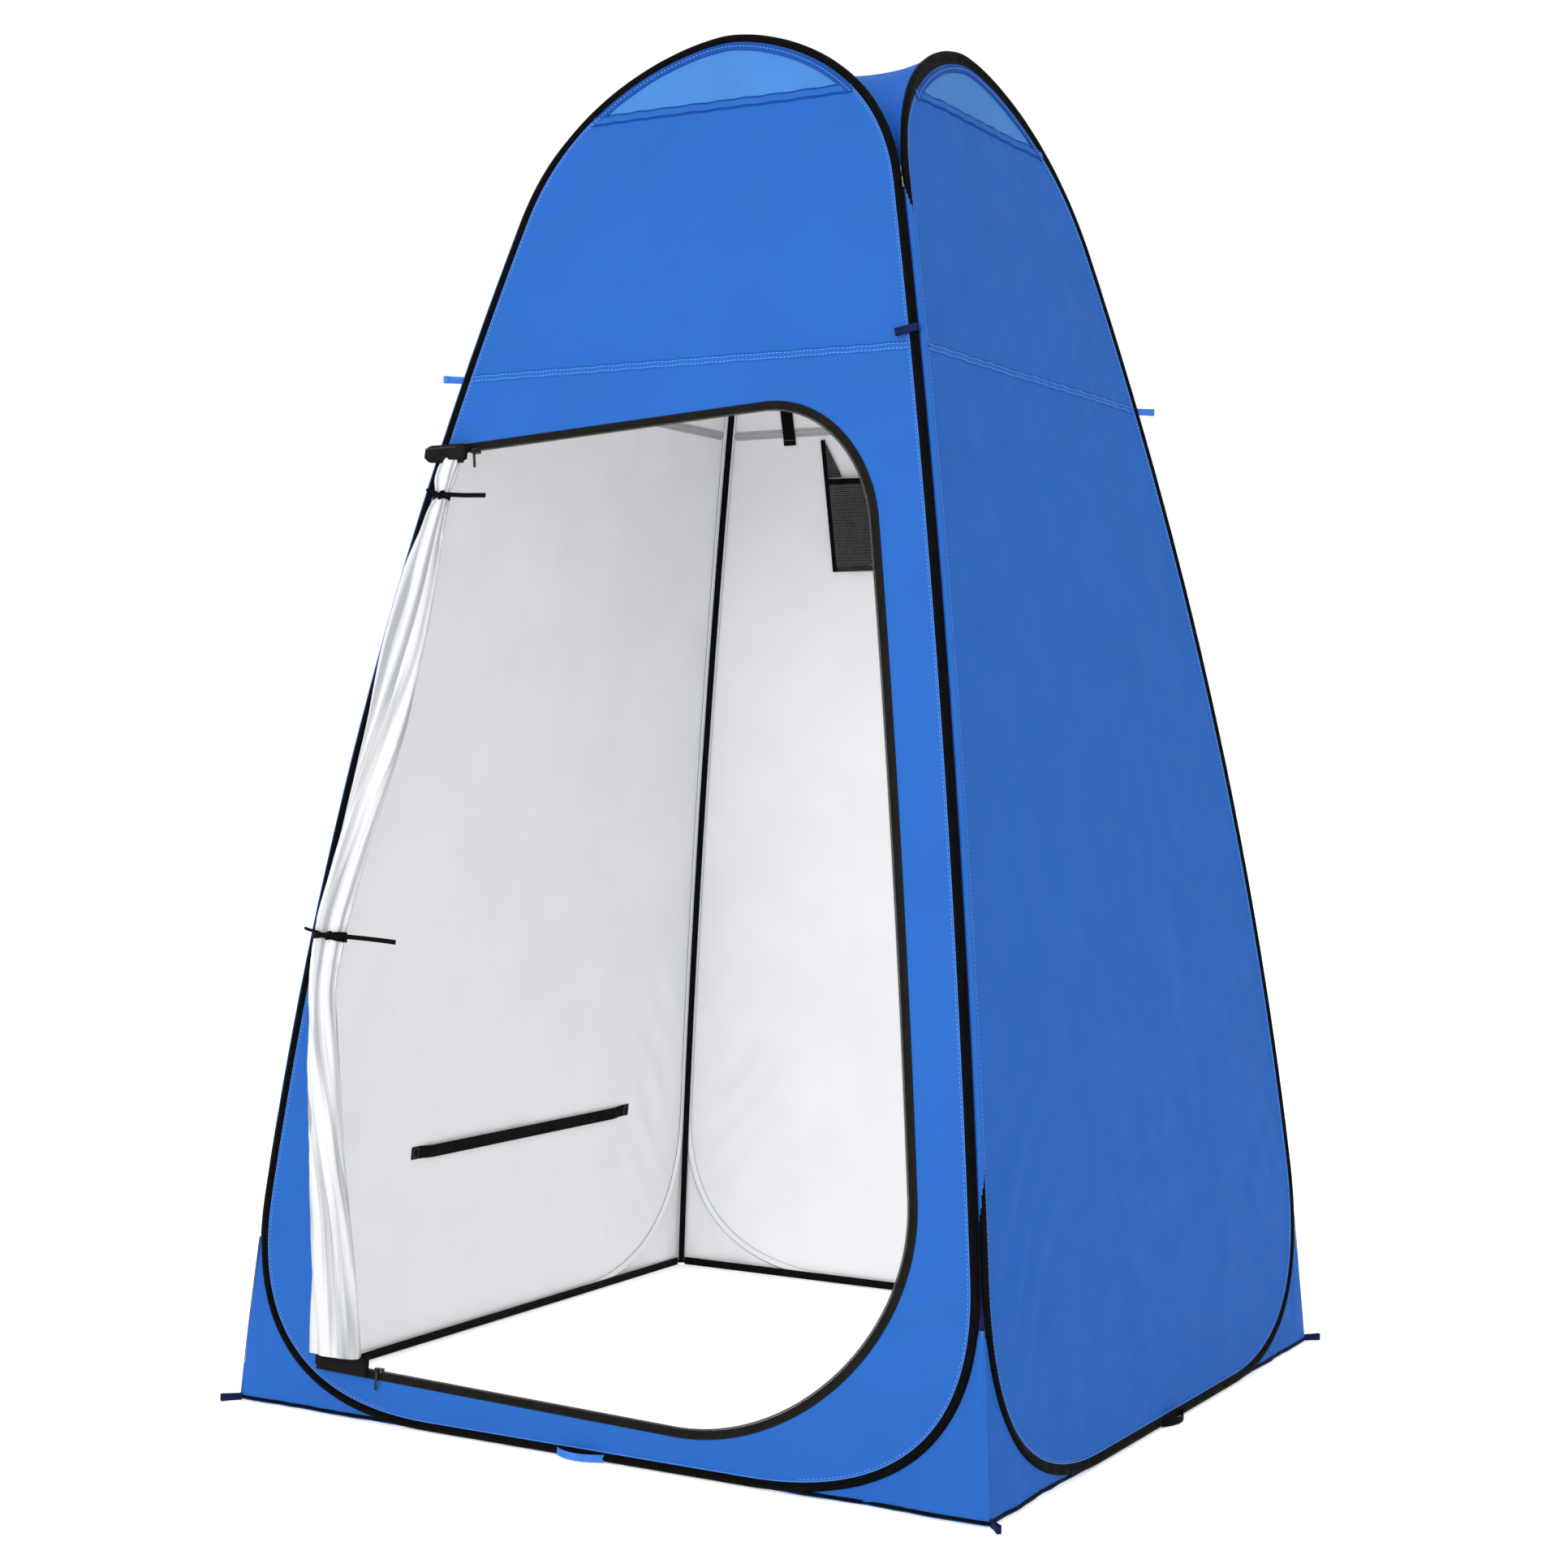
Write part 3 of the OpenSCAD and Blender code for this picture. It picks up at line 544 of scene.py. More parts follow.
def stitches(piece, wall, path, out, pitch=0.006, length=0.0038, radius=0.0005, slot=0, crosswise=False):
    """A row of sewn stitches along a line in a wall, or of crosswise bars such as a zip's teeth."""
    line = resampled(path, pitch)
    side = normals(line, False)
    forward = np.stack([-side[:, 1], side[:, 0]], axis=1)
    if crosswise:
        side, forward = forward, side
    if np.ndim(out):
        out = np.interp(lengths(line), lengths(path), out)
    out = np.broadcast_to(out, len(line))
    along = np.array([-0.5, -0.28, 0.28, 0.5]) * length
    girth = np.array([0.35, 1.0, 1.0, 0.35]) * radius
    turn = np.linspace(0, 2 * math.pi, 4, endpoint=False)
    faces = tube_faces(4, 4, False)
    for centre, f, s, o in zip(line, forward, side, out):
        across = girth[:, None] * np.cos(turn)
        x = centre[0] + along[:, None] * f[0] + across * s[0]
        z = centre[1] + along[:, None] * f[1] + across * s[1]
        piece.add(on_wall(wall, x, z, o + girth[:, None] * np.sin(turn)), faces, slot=slot)
    return piece


def ribbon(piece, points, side, width, thickness, slot=0):
    """Flat webbing along a line in space. Side is the direction of its width at each point.
    The width may be one value or a value for each point."""
    points = np.asarray(points, float)
    side = np.broadcast_to(np.asarray(side, float), points.shape)
    side = side / np.linalg.norm(side, axis=1)[:, None]
    ahead = np.gradient(points, axis=0)
    face = np.cross(ahead, side)
    face /= np.linalg.norm(face, axis=1)[:, None]
    half_section = [(-0.5, -0.3), (-0.5, 0.3), (-0.42, 0.5), (0.42, 0.5)]
    section = np.array(half_section + [(-a, -b) for a, b in half_section])
    width = np.broadcast_to(width, len(points))
    verts = (
        points[:, None]
        + side[:, None] * section[None, :, :1] * width[:, None, None]
        + face[:, None] * section[None, :, 1:] * thickness
    )
    along = lengths(points)
    uvs = np.stack(np.meshgrid(along, lengths(section * [width.max(), thickness]), indexing="ij"), axis=-1)
    return piece.add(verts, tube_faces(len(points), len(section), False), uvs.reshape(-1, 2), slot)


def wall_ribbon(piece, wall, x, z, out, width, thickness):
    """Flat webbing along a line in a wall, with its width up the wall."""
    ribbon(piece, on_wall(wall, x, z, out), up_the_wall(wall, x, z, out), width, thickness)


def edge_distance(loops):
    """Function that gives the distance of points in a wall to the nearest of some lines."""
    spots = np.vstack(loops)
    tree = KDTree(len(spots))
    for i, (x, z) in enumerate(spots):
        tree.insert((x, z, 0), i)
    tree.balance()
    return lambda points: np.array([tree.find((x, z, 0))[2] for x, z in points])


def sheet_mesh(outline, holes, spacing):
    """Points and triangles that fill an outline round its holes."""
    loops = [resampled(loop, spacing * 0.8, closed=True) for loop in (outline, *holes)]
    near_edge = edge_distance(loops)
    low, high = outline.min(axis=0), outline.max(axis=0)
    row_step = spacing * math.sqrt(3) / 2
    rows = np.arange(low[1] + row_step / 2, high[1], row_step)
    grid = np.array([
        (x, z)
        for i, z in enumerate(rows)
        for x in np.arange(low[0] + (i % 2) * spacing / 2, high[0], spacing)
    ])
    keep = inside(grid, outline)
    for hole in holes:
        keep &= ~inside(grid, hole)
    grid = grid[keep]
    grid = grid[near_edge(grid) > spacing * 0.55]
    edges, start = [], 0
    for loop in loops:
        n = len(loop)
        edges += [(start + i, start + (i + 1) % n) for i in range(n)]
        start += n
    points = np.vstack([*loops, grid])
    verts, _, faces, *_ = delaunay_2d_cdt([Vector(p) for p in points], edges, [], 1, 1e-7)
    assert len(verts) == len(points)
    faces = np.array(faces)
    centres = points[faces].mean(axis=1)
    for hole in loops[1:]:
        faces = faces[~inside(centres, hole)]
        centres = points[faces].mean(axis=1)
    return points, faces


def cloth(piece, place, points, faces, thickness):
    """Closed sheet over triangulated points. Place gives world points for an offset out of the sheet.
    Material 0 is its outer side and rim, and material 1 its inner side."""
    n = len(points)
    verts = np.vstack([place(0.0), place(-thickness)])
    pairs = {}
    for a, b, c in faces:
        for p, q in ((a, b), (b, c), (c, a)):
            pairs[(p, q)] = pairs.get((q, p)) is None
            if (q, p) in pairs:
                pairs[(q, p)] = False
                pairs[(p, q)] = False
    rim = [(p, q, q + n, p + n) for (p, q), open_edge in pairs.items() if open_edge]
    outer = [tuple(f) for f in faces]
    inner = [tuple(f[::-1] + n) for f in faces]
    slots = [0] * len(outer) + [1] * len(inner) + [0] * len(rim)
    return piece.add(verts, outer + inner + rim, np.vstack([points, points]), slots)


def grid_faces(rows, columns):
    """Triangles of a grid of points stored row by row."""
    faces = []
    for i in range(rows - 1):
        for j in range(columns - 1):
            a = i * columns + j
            faces += [(a, a + 1, a + columns + 1), (a, a + columns + 1, a + columns)]
    return np.array(faces)


def tube(piece, points, radius, sides=6, slot=0):
    """Round cord along a line in space."""
    points = np.asarray(points, float)
    ahead = np.gradient(points, axis=0)
    ahead /= np.linalg.norm(ahead, axis=1)[:, None]
    up = np.cross(ahead, [0.1, 0.2, 1.0])
    up /= np.linalg.norm(up, axis=1)[:, None]
    over = np.cross(ahead, up)
    turn = np.linspace(0, 2 * math.pi, sides, endpoint=False)
    verts = (
        points[:, None]
        + radius * np.cos(turn)[None, :, None] * up[:, None]
        + radius * np.sin(turn)[None, :, None] * over[:, None]
    )
    uvs = np.stack(np.meshgrid(lengths(points), turn * radius, indexing="ij"), axis=-1)
    return piece.add(verts, tube_faces(len(points), sides, False), uvs.reshape(-1, 2), slot)


# ---- the walls ----

HOOP = hoop_outline()
# The gathered door as [height, left edge, right edge] at its ends, ties and bulges
ROLL = np.array([
    [1.392, -0.372, -0.352],
    [1.364, -0.392, -0.352],
    [1.281, -0.404, -0.367],
    [1.209, -0.423, -0.363],
    [1.090, -0.440, -0.365],
    [0.971, -0.452, -0.381],
    [0.820, -0.482, -0.424],
    [0.690, -0.510, -0.452],
    [0.600, -0.514, -0.464],
    [0.500, -0.503, -0.446],
    [0.363, -0.487, -0.423],
    [0.273, -0.473, -0.401],
    [0.140, -0.457, -0.368],
    [0.072, -0.450, -0.361],
])
FABRIC_EDGE = moved(HOOP, -0.004)


def door_hole():
    """Edge of the front wall's opening. Its left side runs behind the gathered door."""
    outline = door_outline(-0.003)
    behind = np.interp(outline[:, 1], ROLL[::-1, 0], ROLL[::-1, 1]) + 0.014
    outline[:, 0] = np.maximum(outline[:, 0], behind)
    return resampled(outline, 0.008, closed=True)


DOOR_HOLE = door_hole()


def clipped(outline, z, sign):
    """The part of an outline above height z, or below it where sign is -1, closed by a level line."""
    kept = []
    for p, q in zip(outline, np.roll(outline, -1, axis=0)):
        if sign * (p[1] - z) >= 0:
            kept.append(p)
        if (p[1] - z) * (q[1] - z) < 0:
            kept.append(p + (q - p) * (z - p[1]) / (q[1] - p[1]))
    return np.array(kept)


PANELS = {
    "lower": clipped(FABRIC_EDGE, SEAM_Z, -1),
    "upper": clipped(clipped(FABRIC_EDGE, SEAM_Z, 1), CAP_SEAM_Z, -1),
    "cap": clipped(FABRIC_EDGE, CAP_SEAM_Z, 1),
}
# Spacing of each panel's mesh
SPACING = {"lower": 0.013, "upper": 0.012, "cap": 0.009}
NEAR_EDGE = [edge_distance([FABRIC_EDGE, DOOR_HOLE]), edge_distance([FABRIC_EDGE])]


@functools.cache
def panel_mesh(part, has_door):
    return sheet_mesh(PANELS[part], [DOOR_HOLE] if has_door else [], SPACING[part])


def tension(wall, points):
    """How far a wall's fabric stands out of its plane: soft billows, and puckers at the seams."""
    x, z = points.T
    distance = NEAR_EDGE[min(wall, 1)](points)
    billow = 0.0022 * ripple(x, z * 0.5, 0.45, 11 + wall)
    drag = 0.0009 * ripple(x, z * 0.22, 0.10, 31 + wall)
    corner = np.exp(-(((np.abs(x) - reach(z) + 0.10) / 0.10) ** 2) - ((z - 0.33) / 0.22) ** 2)
    folds = 0.0022 * corner * np.sin((np.abs(x) * 0.75 + z * 0.66) * 95 + ripple(x, z, 0.3, 51 + wall) * 2)
    gathers = 0.0011 * np.sin(x * 2 * math.pi / 0.045 + 3 * ripple(x, z, 0.2, 71 + wall))
    near_seam = sum(np.exp(-np.abs(z - height) / 0.030) for height in (SEAM_Z, CAP_SEAM_Z))
    spread = smoothstep(0, 0.10, distance) * (billow + drag + folds)
    return spread + smoothstep(0, 0.03, distance) * gathers * near_seam


def panel(wall, part):
    """One stretched panel of a wall. The front wall's lower one has the gathered door flap on it."""
    side = WALLS[wall]
    has_door = wall == 0 and part == "lower"
    points, faces = panel_mesh(part, has_door)
    x, z = points.T
    lift = tension(wall, points)
    piece = Piece(f"{side}_{part}_fabric", CAP_BLUE if part == "cap" else BLUE, SILVER, DOOR_SILVER)
    cloth(piece, lambda out: on_wall(wall, x, z, lift + out), points, faces, FABRIC_T)
    nodes = [f"{side}_{part}_panel"]
    if has_door:
        door_flap(piece)
        nodes.append("door_roll")
    made = piece.build(f"{side}_wall", "cap_fabric" if part == "cap" else "wall_fabric", nodes)


ROLL_DEPTH_SHARE = 0.55
TIES = (UPPER_TIE_Z, LOWER_TIE_Z)


def roll_span(z):
    """Middle and half width of the bundle at height z, drawn in sharply at its ties."""
    heights = ROLL[::-1, 0]
    offsets = np.linspace(-0.02, 0.02, 5)
    left, right = (
        np.mean([np.interp(z + d, heights, ROLL[::-1, k]) for d in offsets], axis=0) for k in (1, 2)
    )
    pinch = sum(np.exp(-(((z - tie) / 0.016) ** 2)) for tie in TIES)
    half = (right - left) / 2
    half = half * (1 - pinch) + pinch * np.minimum(half, np.where(z > 1, 0.0125, 0.0270))
    return (left + right) / 2, half


def door_flap(piece):
    """The door panel, rolled up on itself: a sheet wound in from its free edge, silver side out."""
    turns, per_turn = 9, 26
    z = np.arange(0.0895, 1.374, 0.0075)
    t = np.linspace(0, 1, turns * per_turn)
    middle, half = (v[:, None] for v in roll_span(z))
    free_edge = np.radians(60 + 75 * smoothstep(0.25, 0.60, z) - 95 * smoothstep(0.60, 1.25, z))[:, None]
    angle = free_edge - 2 * math.pi * turns * t[None, :]
    tied = sum(np.exp(-np.abs(z - tie) / 0.045) for tie in TIES)[:, None]
    zz = np.broadcast_to(z[:, None], angle.shape)
    creases = (
        0.24 * np.exp(-(((np.sin(angle / 2 - 0.9 - 0.5 * np.sin(zz * 5.2))) / 0.17) ** 2))
        + 0.16 * np.exp(-(((np.sin(angle / 2 - 1.35 + 0.6 * np.sin(zz * 4.1 + 1))) / 0.12) ** 2))
        + 0.07 * tied * np.cos(angle * 9 + 3 * np.sin(zz * 60))
        + 0.06 * np.cos(angle * 5 + zz * 14)
    )
    size = (1 - 0.93 * t)[None, :] * (1 - creases)
    shells = []
    for inset in (0.0, 0.0005):
        x = middle + (half * size - inset) * np.cos(angle)
        out = half * ROLL_DEPTH_SHARE * (1 + size * np.sin(angle)) - inset * np.sin(angle)
        shells.append(on_wall(0, x, zz, out))
    rows, columns = angle.shape
    n = rows * columns
    front = [
        (i * columns + j, i * columns + j + 1, (i + 1) * columns + j + 1, (i + 1) * columns + j)
        for i in range(rows - 1)
        for j in range(columns - 1)
    ]
    back = [tuple(k + n for k in face[::-1]) for face in front]
    border = (
        [(0, j) for j in range(columns)]
        + [(i, columns - 1) for i in range(1, rows)]
        + [(rows - 1, j) for j in range(columns - 2, -1, -1)]
        + [(i, 0) for i in range(rows - 2, 0, -1)]
    )
    border = [i * columns + j for i, j in border]
    rim = [(a, b, b + n, a + n) for a, b in zip(border, border[1:] + border[:1])]
    uvs = np.stack([t[None, :] * 0.9 + 0 * zz, zz], axis=-1).reshape(-1, 2)
    piece.add(np.concatenate(shells), front + back + rim, np.vstack([uvs, uvs]), slot=2)


LIP_W = 0.0068


def sleeve_profile(lip):
    """Section of the binding: a tube round the wire with a flat lip sewn to each side of the fabric."""
    turn = np.radians(np.linspace(-140, 140, 15))
    radius, centre = SLEEVE_R - 0.0003, -FABRIC_T / 2
    tube = np.stack([radius * np.cos(turn), centre + radius * np.sin(turn)], axis=1)
    neck = [(-0.0062, 0.0016), (-lip, 0.0009), (-lip, -0.0019), (-0.0062, -0.0026)]
    return np.vstack([tube, neck])


def lip_width(wall, x, z):
    """How far the binding's lip reaches in over the fabric. Round the right hoop's arch the black lip is
    wider, as painted shade: it stands in for the hem band that lies in shade there.
    """
    # Painted shade: the right hoop's black lip widens round the arch where its hem band is in shade.
    shaded_arch_lip = 0.0075 * smoothstep(1.80, 1.95, z) * (wall == 1)
    foot = 0.0020 * smoothstep(0.10, 0.01, z) * (wall == 1)
    return LIP_W + shaded_arch_lip + foot


# The hoops of each corner share one black binding, and the wall's fabric runs over the other's sleeve
COVERED = {0: (), 1: (-1,), 2: (-1,), 3: (-1, 1)}


def sleeve(wall):
    """Black binding round the hoop. Its inner side is the silver lining that runs over it."""
    side = WALLS[wall]
    spots = lengths(HOOP)
    lips = lip_width(wall, HOOP[:, 0], HOOP[:, 1])
    piece = Piece(f"{side}_sleeve_binding", BINDING, SILVER, BLUE)
    last = len(sleeve_profile(LIP_W)) - 2

    def material(ring, k):
        x, z = HOOP[ring]
        if k < 4 or k >= last:
            return 1
        return 2 if np.sign(x) in COVERED[wall] and 0.32 + 0.010 * k < z < 1.75 - 0.006 * k else 0

    def section(distance):
        return sleeve_profile(np.interp(distance, spots, lips))

    wall_sweep(piece, wall, HOOP, section, closed=True, slot=material, wobble=0.02)
    piece.build(f"{side}_wall", "sleeve_tape", [f"{side}_sleeve"])

    # The fold is drawn in a paler blue: a painted highlight beside the binding.
    fold = Piece(f"{side}_edge_fold", FOLD_HIGHLIGHT_BLUE)
    line = HOOP - (lips + 0.0006)[:, None] * normals(HOOP, True)
    wall_sweep(fold, wall, line, round_profile(0.0011, 6, out=0.0004), closed=True)
    fold.build(f"{side}_wall", "wall_fabric")

    thread = Piece(f"{side}_hoop_stitching", LIGHT_THREAD)
    line = HOOP - (lips + 0.0035)[:, None] * normals(HOOP, True)
    stitches(thread, wall, line[line[:, 1] > 0.02], 0.0004)
    thread.build(f"{side}_wall", "wall_fabric")


def seam_line(z, inset=0.012, spacing=0.008):
    """Level line across a wall between its sleeves."""
    at = HOOP[np.argmin(np.abs(HOOP[: len(HOOP) // 2, 1] - z))][0]
    half = abs(at) - inset
    x = np.arange(-half, half + spacing / 2, spacing)
    return np.stack([x, np.full(len(x), z)], axis=1)


def seams(wall):
    """The felled main seam, the cap seam and the hem band under the arch, with their stitching."""
    side = WALLS[wall]
    piece = Piece(f"{side}_seams", BLUE, HEM_BLUE, LINING_SEAM)
    thread = Piece(f"{side}_seam_stitching", LIGHT_THREAD, DARK_THREAD, GREY_THREAD)
    line = seam_line(SEAM_Z)
    lift = tension(wall, line)
    wall_sweep(piece, wall, line, band_profile(-0.005, 0.005, -0.0006, 0.0014), out=lift)
    wall_sweep(piece, wall, line, band_profile(-0.0062, -0.0045, -0.0006, 0.0009), out=lift, slot=1)
    inside_band = band_profile(-0.007, 0.007, -FABRIC_T - 0.0012, -FABRIC_T)
    wall_sweep(piece, wall, line, inside_band, out=lift, slot=2)
    for offset in (-0.0032, 0.0032):
        row = resampled(line + [0, offset], 0.006)
        lift = tension(wall, row)
        stitches(thread, wall, row, lift + 0.0016, slot=0)
        stitches(thread, wall, row, lift - FABRIC_T - 0.0013, slot=2)
    line = seam_line(CAP_SEAM_Z, inset=0.014)
    lift = tension(wall, line)
    wall_sweep(piece, wall, line, band_profile(-0.0075, 0.0075, -0.0006, 0.0015), out=lift, slot=1)
    wall_sweep(piece, wall, line, band_profile(-0.0045, 0.0045, 0.0, 0.0024), out=lift, slot=0)
    for offset in (-0.0062, 0.0062):
        row = resampled(line + [0, offset], 0.006)
        stitches(thread, wall, row, tension(wall, row) + 0.0016, slot=1)
    arch = HOOP[HOOP[:, 1] > CAP_SEAM_Z + 0.004]
    arch = arch[np.argsort(-arch[:, 0])]
    arch_lips = lip_width(wall, arch[:, 0], arch[:, 1])
    inner = arch - (arch_lips + 0.0065)[:, None] * normals(arch, False)
    wall_sweep(piece, wall, inner, band_profile(-0.0055, 0.0060, -0.0004, 0.0024), slot=1)
    stitches(thread, wall, inner, 0.0026, slot=0)
    piece.build(f"{side}_wall", "wall_fabric")
    thread.build(f"{side}_wall", "wall_fabric")


# ---- the crown ----


def crown_gore(wall):
    """Quarter of the saddle-shaped roof, between a wall's arch and the two diagonals."""
    side = WALLS[wall]
    half = reach(HOOP_PART_Z) - SLEEVE_INSET - 0.004
    arch = hoop_half()[-61:]
    columns, rows = 49, 19
    x = np.linspace(-half, half, columns)[None, :]
    t = np.linspace(0, 1, rows)[:, None]
    rim_z = np.interp(np.abs(x), arch[::-1, 0], arch[::-1, 1])
    crown_z = HEIGHT - 0.022
    valley_z = crown_z - (crown_z - HOOP_PART_Z) * np.minimum(1, np.abs(x) / reach(HOOP_PART_Z)) ** 2.4
    y = -(reach(rim_z) - 0.005) * (1 - t) - (np.abs(x) + 0.0015) * t
    z = rim_z + (valley_z - rim_z) * t
    z = z + (0.0012 * ripple(x + 0 * t, y, 0.12, 91 + wall) - 0.010) * np.sin(math.pi * t)
    points = np.stack([x + 0 * t, y, z], axis=-1).reshape(-1, 3) @ np.array(turn_to(wall)).T
    piece = Piece(f"{side}_crown_fabric", CROWN_BLUE, SILVER, HEM_BLUE)
    flat = np.stack([x + 0 * t, y], axis=-1).reshape(-1, 2)
    cloth(piece, lambda out: points + [0, 0, out], flat, grid_faces(rows, columns), FABRIC_T)
    valley = points.reshape(rows, columns, 3)[-1] + [0, 0, 0.0008]
    tube(piece, valley, 0.0014, slot=2)
    hem = points.reshape(rows, columns, 3)[1] + [0, 0, 0.0012]
    tube(piece, hem, 0.0010, slot=2)
    made = piece.build(f"{side}_wall", "crown_fabric", [f"{side}_crown_gore"])
    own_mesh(made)


# ---- the corners ----

# Corner k lies between wall k's right end and the next wall's left end
CORNERS = ("front_right", "back_right", "back_left", "front_left")
HINGED = {0: ("front_wall", "right_wall"), 1: ("right_wall", "back_wall"), 3: ("front_wall", "left_wall")}


def corner_piece(made, k, apart=0.03):
    """Bakes a corner piece's placement into its mesh. The corner's walls and the points on either side of it
    are worked out but not used, so the piece does not bend with the walls.
    """
    a, b = HINGED[k]
    corner = on_wall(k, reach(0.1), 0.1, 0.0)
    across = np.array(turned(k, (1, 1, 0)).normalized()) * apart
    start, end = (corner - across, corner + across)
    if a != f"{WALLS[k]}_wall":
        start, end = end, start
    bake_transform(made)


def skirt_rows():
    """Heights of a skirt's rows, and how far each reaches from the corner to its hoop."""
    lower = moved(HOOP, 0.0032)
    lower = lower[(lower[:, 1] < 0.29) & (lower[:, 0] > HOOP_FOOT)]
    lower = lower[np.argsort(lower[:, 1])]
    z = np.concatenate([[0.0012, 0.004], np.arange(0.010, 0.236, 0.0075)])
    return z, reach(z) - np.interp(z, lower[:, 1], lower[:, 0])


def skirt_side(k, wall_end, z, extent, s):
    """World points on one side of corner k. s runs from 0 at the corner to 1 at the hoop."""
    wall = k if wall_end > 0 else (k + 1) % 4
    x = reach(z)[:, None] - extent[:, None] * s[None, :]
    far = x * 0 + s[None, :]
    zz = x * 0 + z[:, None]
    free = np.sin(math.pi * far) ** 0.7
    droop = 0.0035 * ripple(x, zz * 0.6, 0.12, 130 + 4 * k + wall_end)
    droop = droop + 0.002 * ripple(x * 2, zz * 0.4, 0.09, 150 + k)
    soft = -0.0020 * np.exp(-(((reach(zz) - x) / 0.006) ** 2))
    return on_wall(wall, wall_end * x, zz, free * droop + soft - 0.0004)


def skirt(k):
    """Fabric outside the hoops' rounded bottom corners, with its hem on the ground.
    At the corner without a hinge it is in two halves, one on each wall."""
    z, extent = skirt_rows()
    s = np.linspace(0, 1, 18) ** 1.25
    left = skirt_side(k, 1, z, extent, s)
    right = skirt_side(k, -1, z, extent, s)
    if k in HINGED:
        parts = ((None, np.concatenate([left[:, ::-1], right[:, 1:]], axis=1)),)
    else:
        parts = (("back", left[:, ::-1]), ("left", right))
    corner = CORNERS[k]
    for label, points in parts:
        rows, columns = points.shape[:2]
        piece = Piece(f"{corner}_skirt" + (f"_{label}_half" if label else ""), BLUE, SILVER, BINDING)
        flat = np.stack(np.meshgrid(z, np.arange(columns) * 0.012, indexing="ij"), axis=-1).reshape(-1, 2)
        outward = np.array(turned(k, (1, -1, 0)).normalized())
        spots = points.reshape(-1, 3)
        cloth(piece, lambda out: spots + out * outward, flat, grid_faces(rows, columns), FABRIC_T)
        ribbon(piece, points[1] + [0, 0, 0.001], (0, 0, 1), 0.0045, 0.0026, slot=2)
        made = piece.build(None, "wall_fabric")
        if label:
            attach(made, f"{label}_wall")
            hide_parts(f"{label}_skirt")
        else:
            corner_piece(made, k)
            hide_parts(f"{WALLS[k]}_skirt" if k != 3 else "front_skirt", f"{corner}_corner_tape")
        if label == "left":
            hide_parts(f"{corner}_corner_tape")


def corner_bindings(k):
    """Navy strip that closes the gap between two hoops, and the black tape over it inside the tent."""
    z = np.linspace(0.225, HOOP_PART_Z - 0.01, 70)
    inward = np.array(turned(k, (-1, 1, 0)).normalized())
    across = np.array(turned(k, (1, 1, 0)).normalized())
    line = on_wall(k, reach(z), z, 0.0)
    outer = Piece(f"{CORNERS[k]}_corner_strip", NAVY_WEB)
    ribbon(outer, line + 0.0065 * inward, across, 0.010, 0.0010)
    z = np.linspace(0.004, HOOP_PART_Z - 0.01, 80)
    line = on_wall(k, reach(z), z, 0.0)
    inner = Piece(f"{CORNERS[k]}_inner_binding", BLACK_WEB)
    ribbon(inner, line + 0.0175 * inward, across, 0.0105, 0.0012)
    for piece in (outer, inner):
        made = piece.build(None, "black_webbing")
        if k in HINGED:
            corner_piece(made, k, 0.012)
        else:
            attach(made, "left_wall")


def ground_hem(wall):
    """Black tape along the ground on the inside of a wall, from corner to corner."""
    half = reach(0.007) - 0.016
    x = np.linspace(-half, half, 90)
    line = np.stack([x, np.full(len(x), 0.0078)], axis=1)
    piece = Piece(f"{WALLS[wall]}_ground_hem", BLACK_WEB)
    wall_sweep(piece, wall, line, band_profile(-0.0068, 0.0068, -0.0074, -0.0062), out=0.0)
    piece.build(f"{WALLS[wall]}_wall", "black_webbing")


# ---- the door's zip ----


ZIP_TEETH = {"pitch": 0.0022, "length": 0.0036, "crosswise": True}


def zip_fastener():
    """The zip's woven tape round the doorway, with its row of coil teeth."""
    line = resampled(door_run(0), 0.006)
    tape = Piece("door_zip_tape_woven", ZIP_TAPE, BLACK_THREAD)
    wall_sweep(tape, 0, line, band_profile(-0.007, 0.0045, -FABRIC_T - 0.0008, 0.0013))
    stitches(tape, 0, moved(line, 0.0030, False), 0.0014, slot=1, pitch=0.005)
    tape.build("front_wall", "zip_tape", ["door_zip_tape"])
    coil = Piece("door_zip_coil_teeth", COIL)
    row = moved(line, -0.0083, False)
    wall_sweep(coil, 0, row, round_profile(0.0009, 6, out=0.0006))
    stitches(coil, 0, row, 0.0008, **ZIP_TEETH, radius=0.0007)
    coil.build("front_wall", "zip_coil", ["door_zip_coil"])


def tape_stack(name, node, x_low, x_high, z, width, low, high, layers):
    """The door panel's own zip tape, folded to and fro in a stack."""
    gap = (high - low) / layers
    path = []
    for layer in range(layers):
        out = low + gap * (layer + 0.5)
        ends = (x_low + gap / 2, x_high - gap / 2)[:: 1 if layer % 2 == 0 else -1]
        slack = 0.0012 * math.sin(layer * 2.3)
        lean = 0.04 * math.cos(layer * 1.7)
        path += [
            (x, out + 0.0005 * math.sin(x * 190 + layer), z + slack + (x - ends[0]) * lean)
            for x in np.linspace(*ends, 14)
        ]
        if layer < layers - 1:
            way = 1 if layer % 2 == 0 else -1
            x_end, _, z_end = path[-1]
            for turn in np.radians((-60, -20, 20, 60)):
                bend_x, bend_out = way * math.cos(turn), 1 + math.sin(turn)
                path.append((x_end + gap / 2 * bend_x, out + gap / 2 * bend_out, z_end))
    x, out, height = np.array(path).T
    piece = Piece(name, ZIP_TAPE, COIL)
    rounded = width * (1 - 0.5 * np.exp(-(((x - x_low) / 0.006) ** 2)))
    wall_ribbon(piece, 0, x, height, out, rounded, gap * 0.62)
    last = slice(len(x) - 11, len(x))
    row = np.stack([x[last], height[last] + width * 0.30], axis=1)
    stitches(piece, 0, row, out[last] + gap * 0.36, **ZIP_TEETH, radius=0.0006, slot=1)
    piece.build("front_wall", "zip_tape", [node])


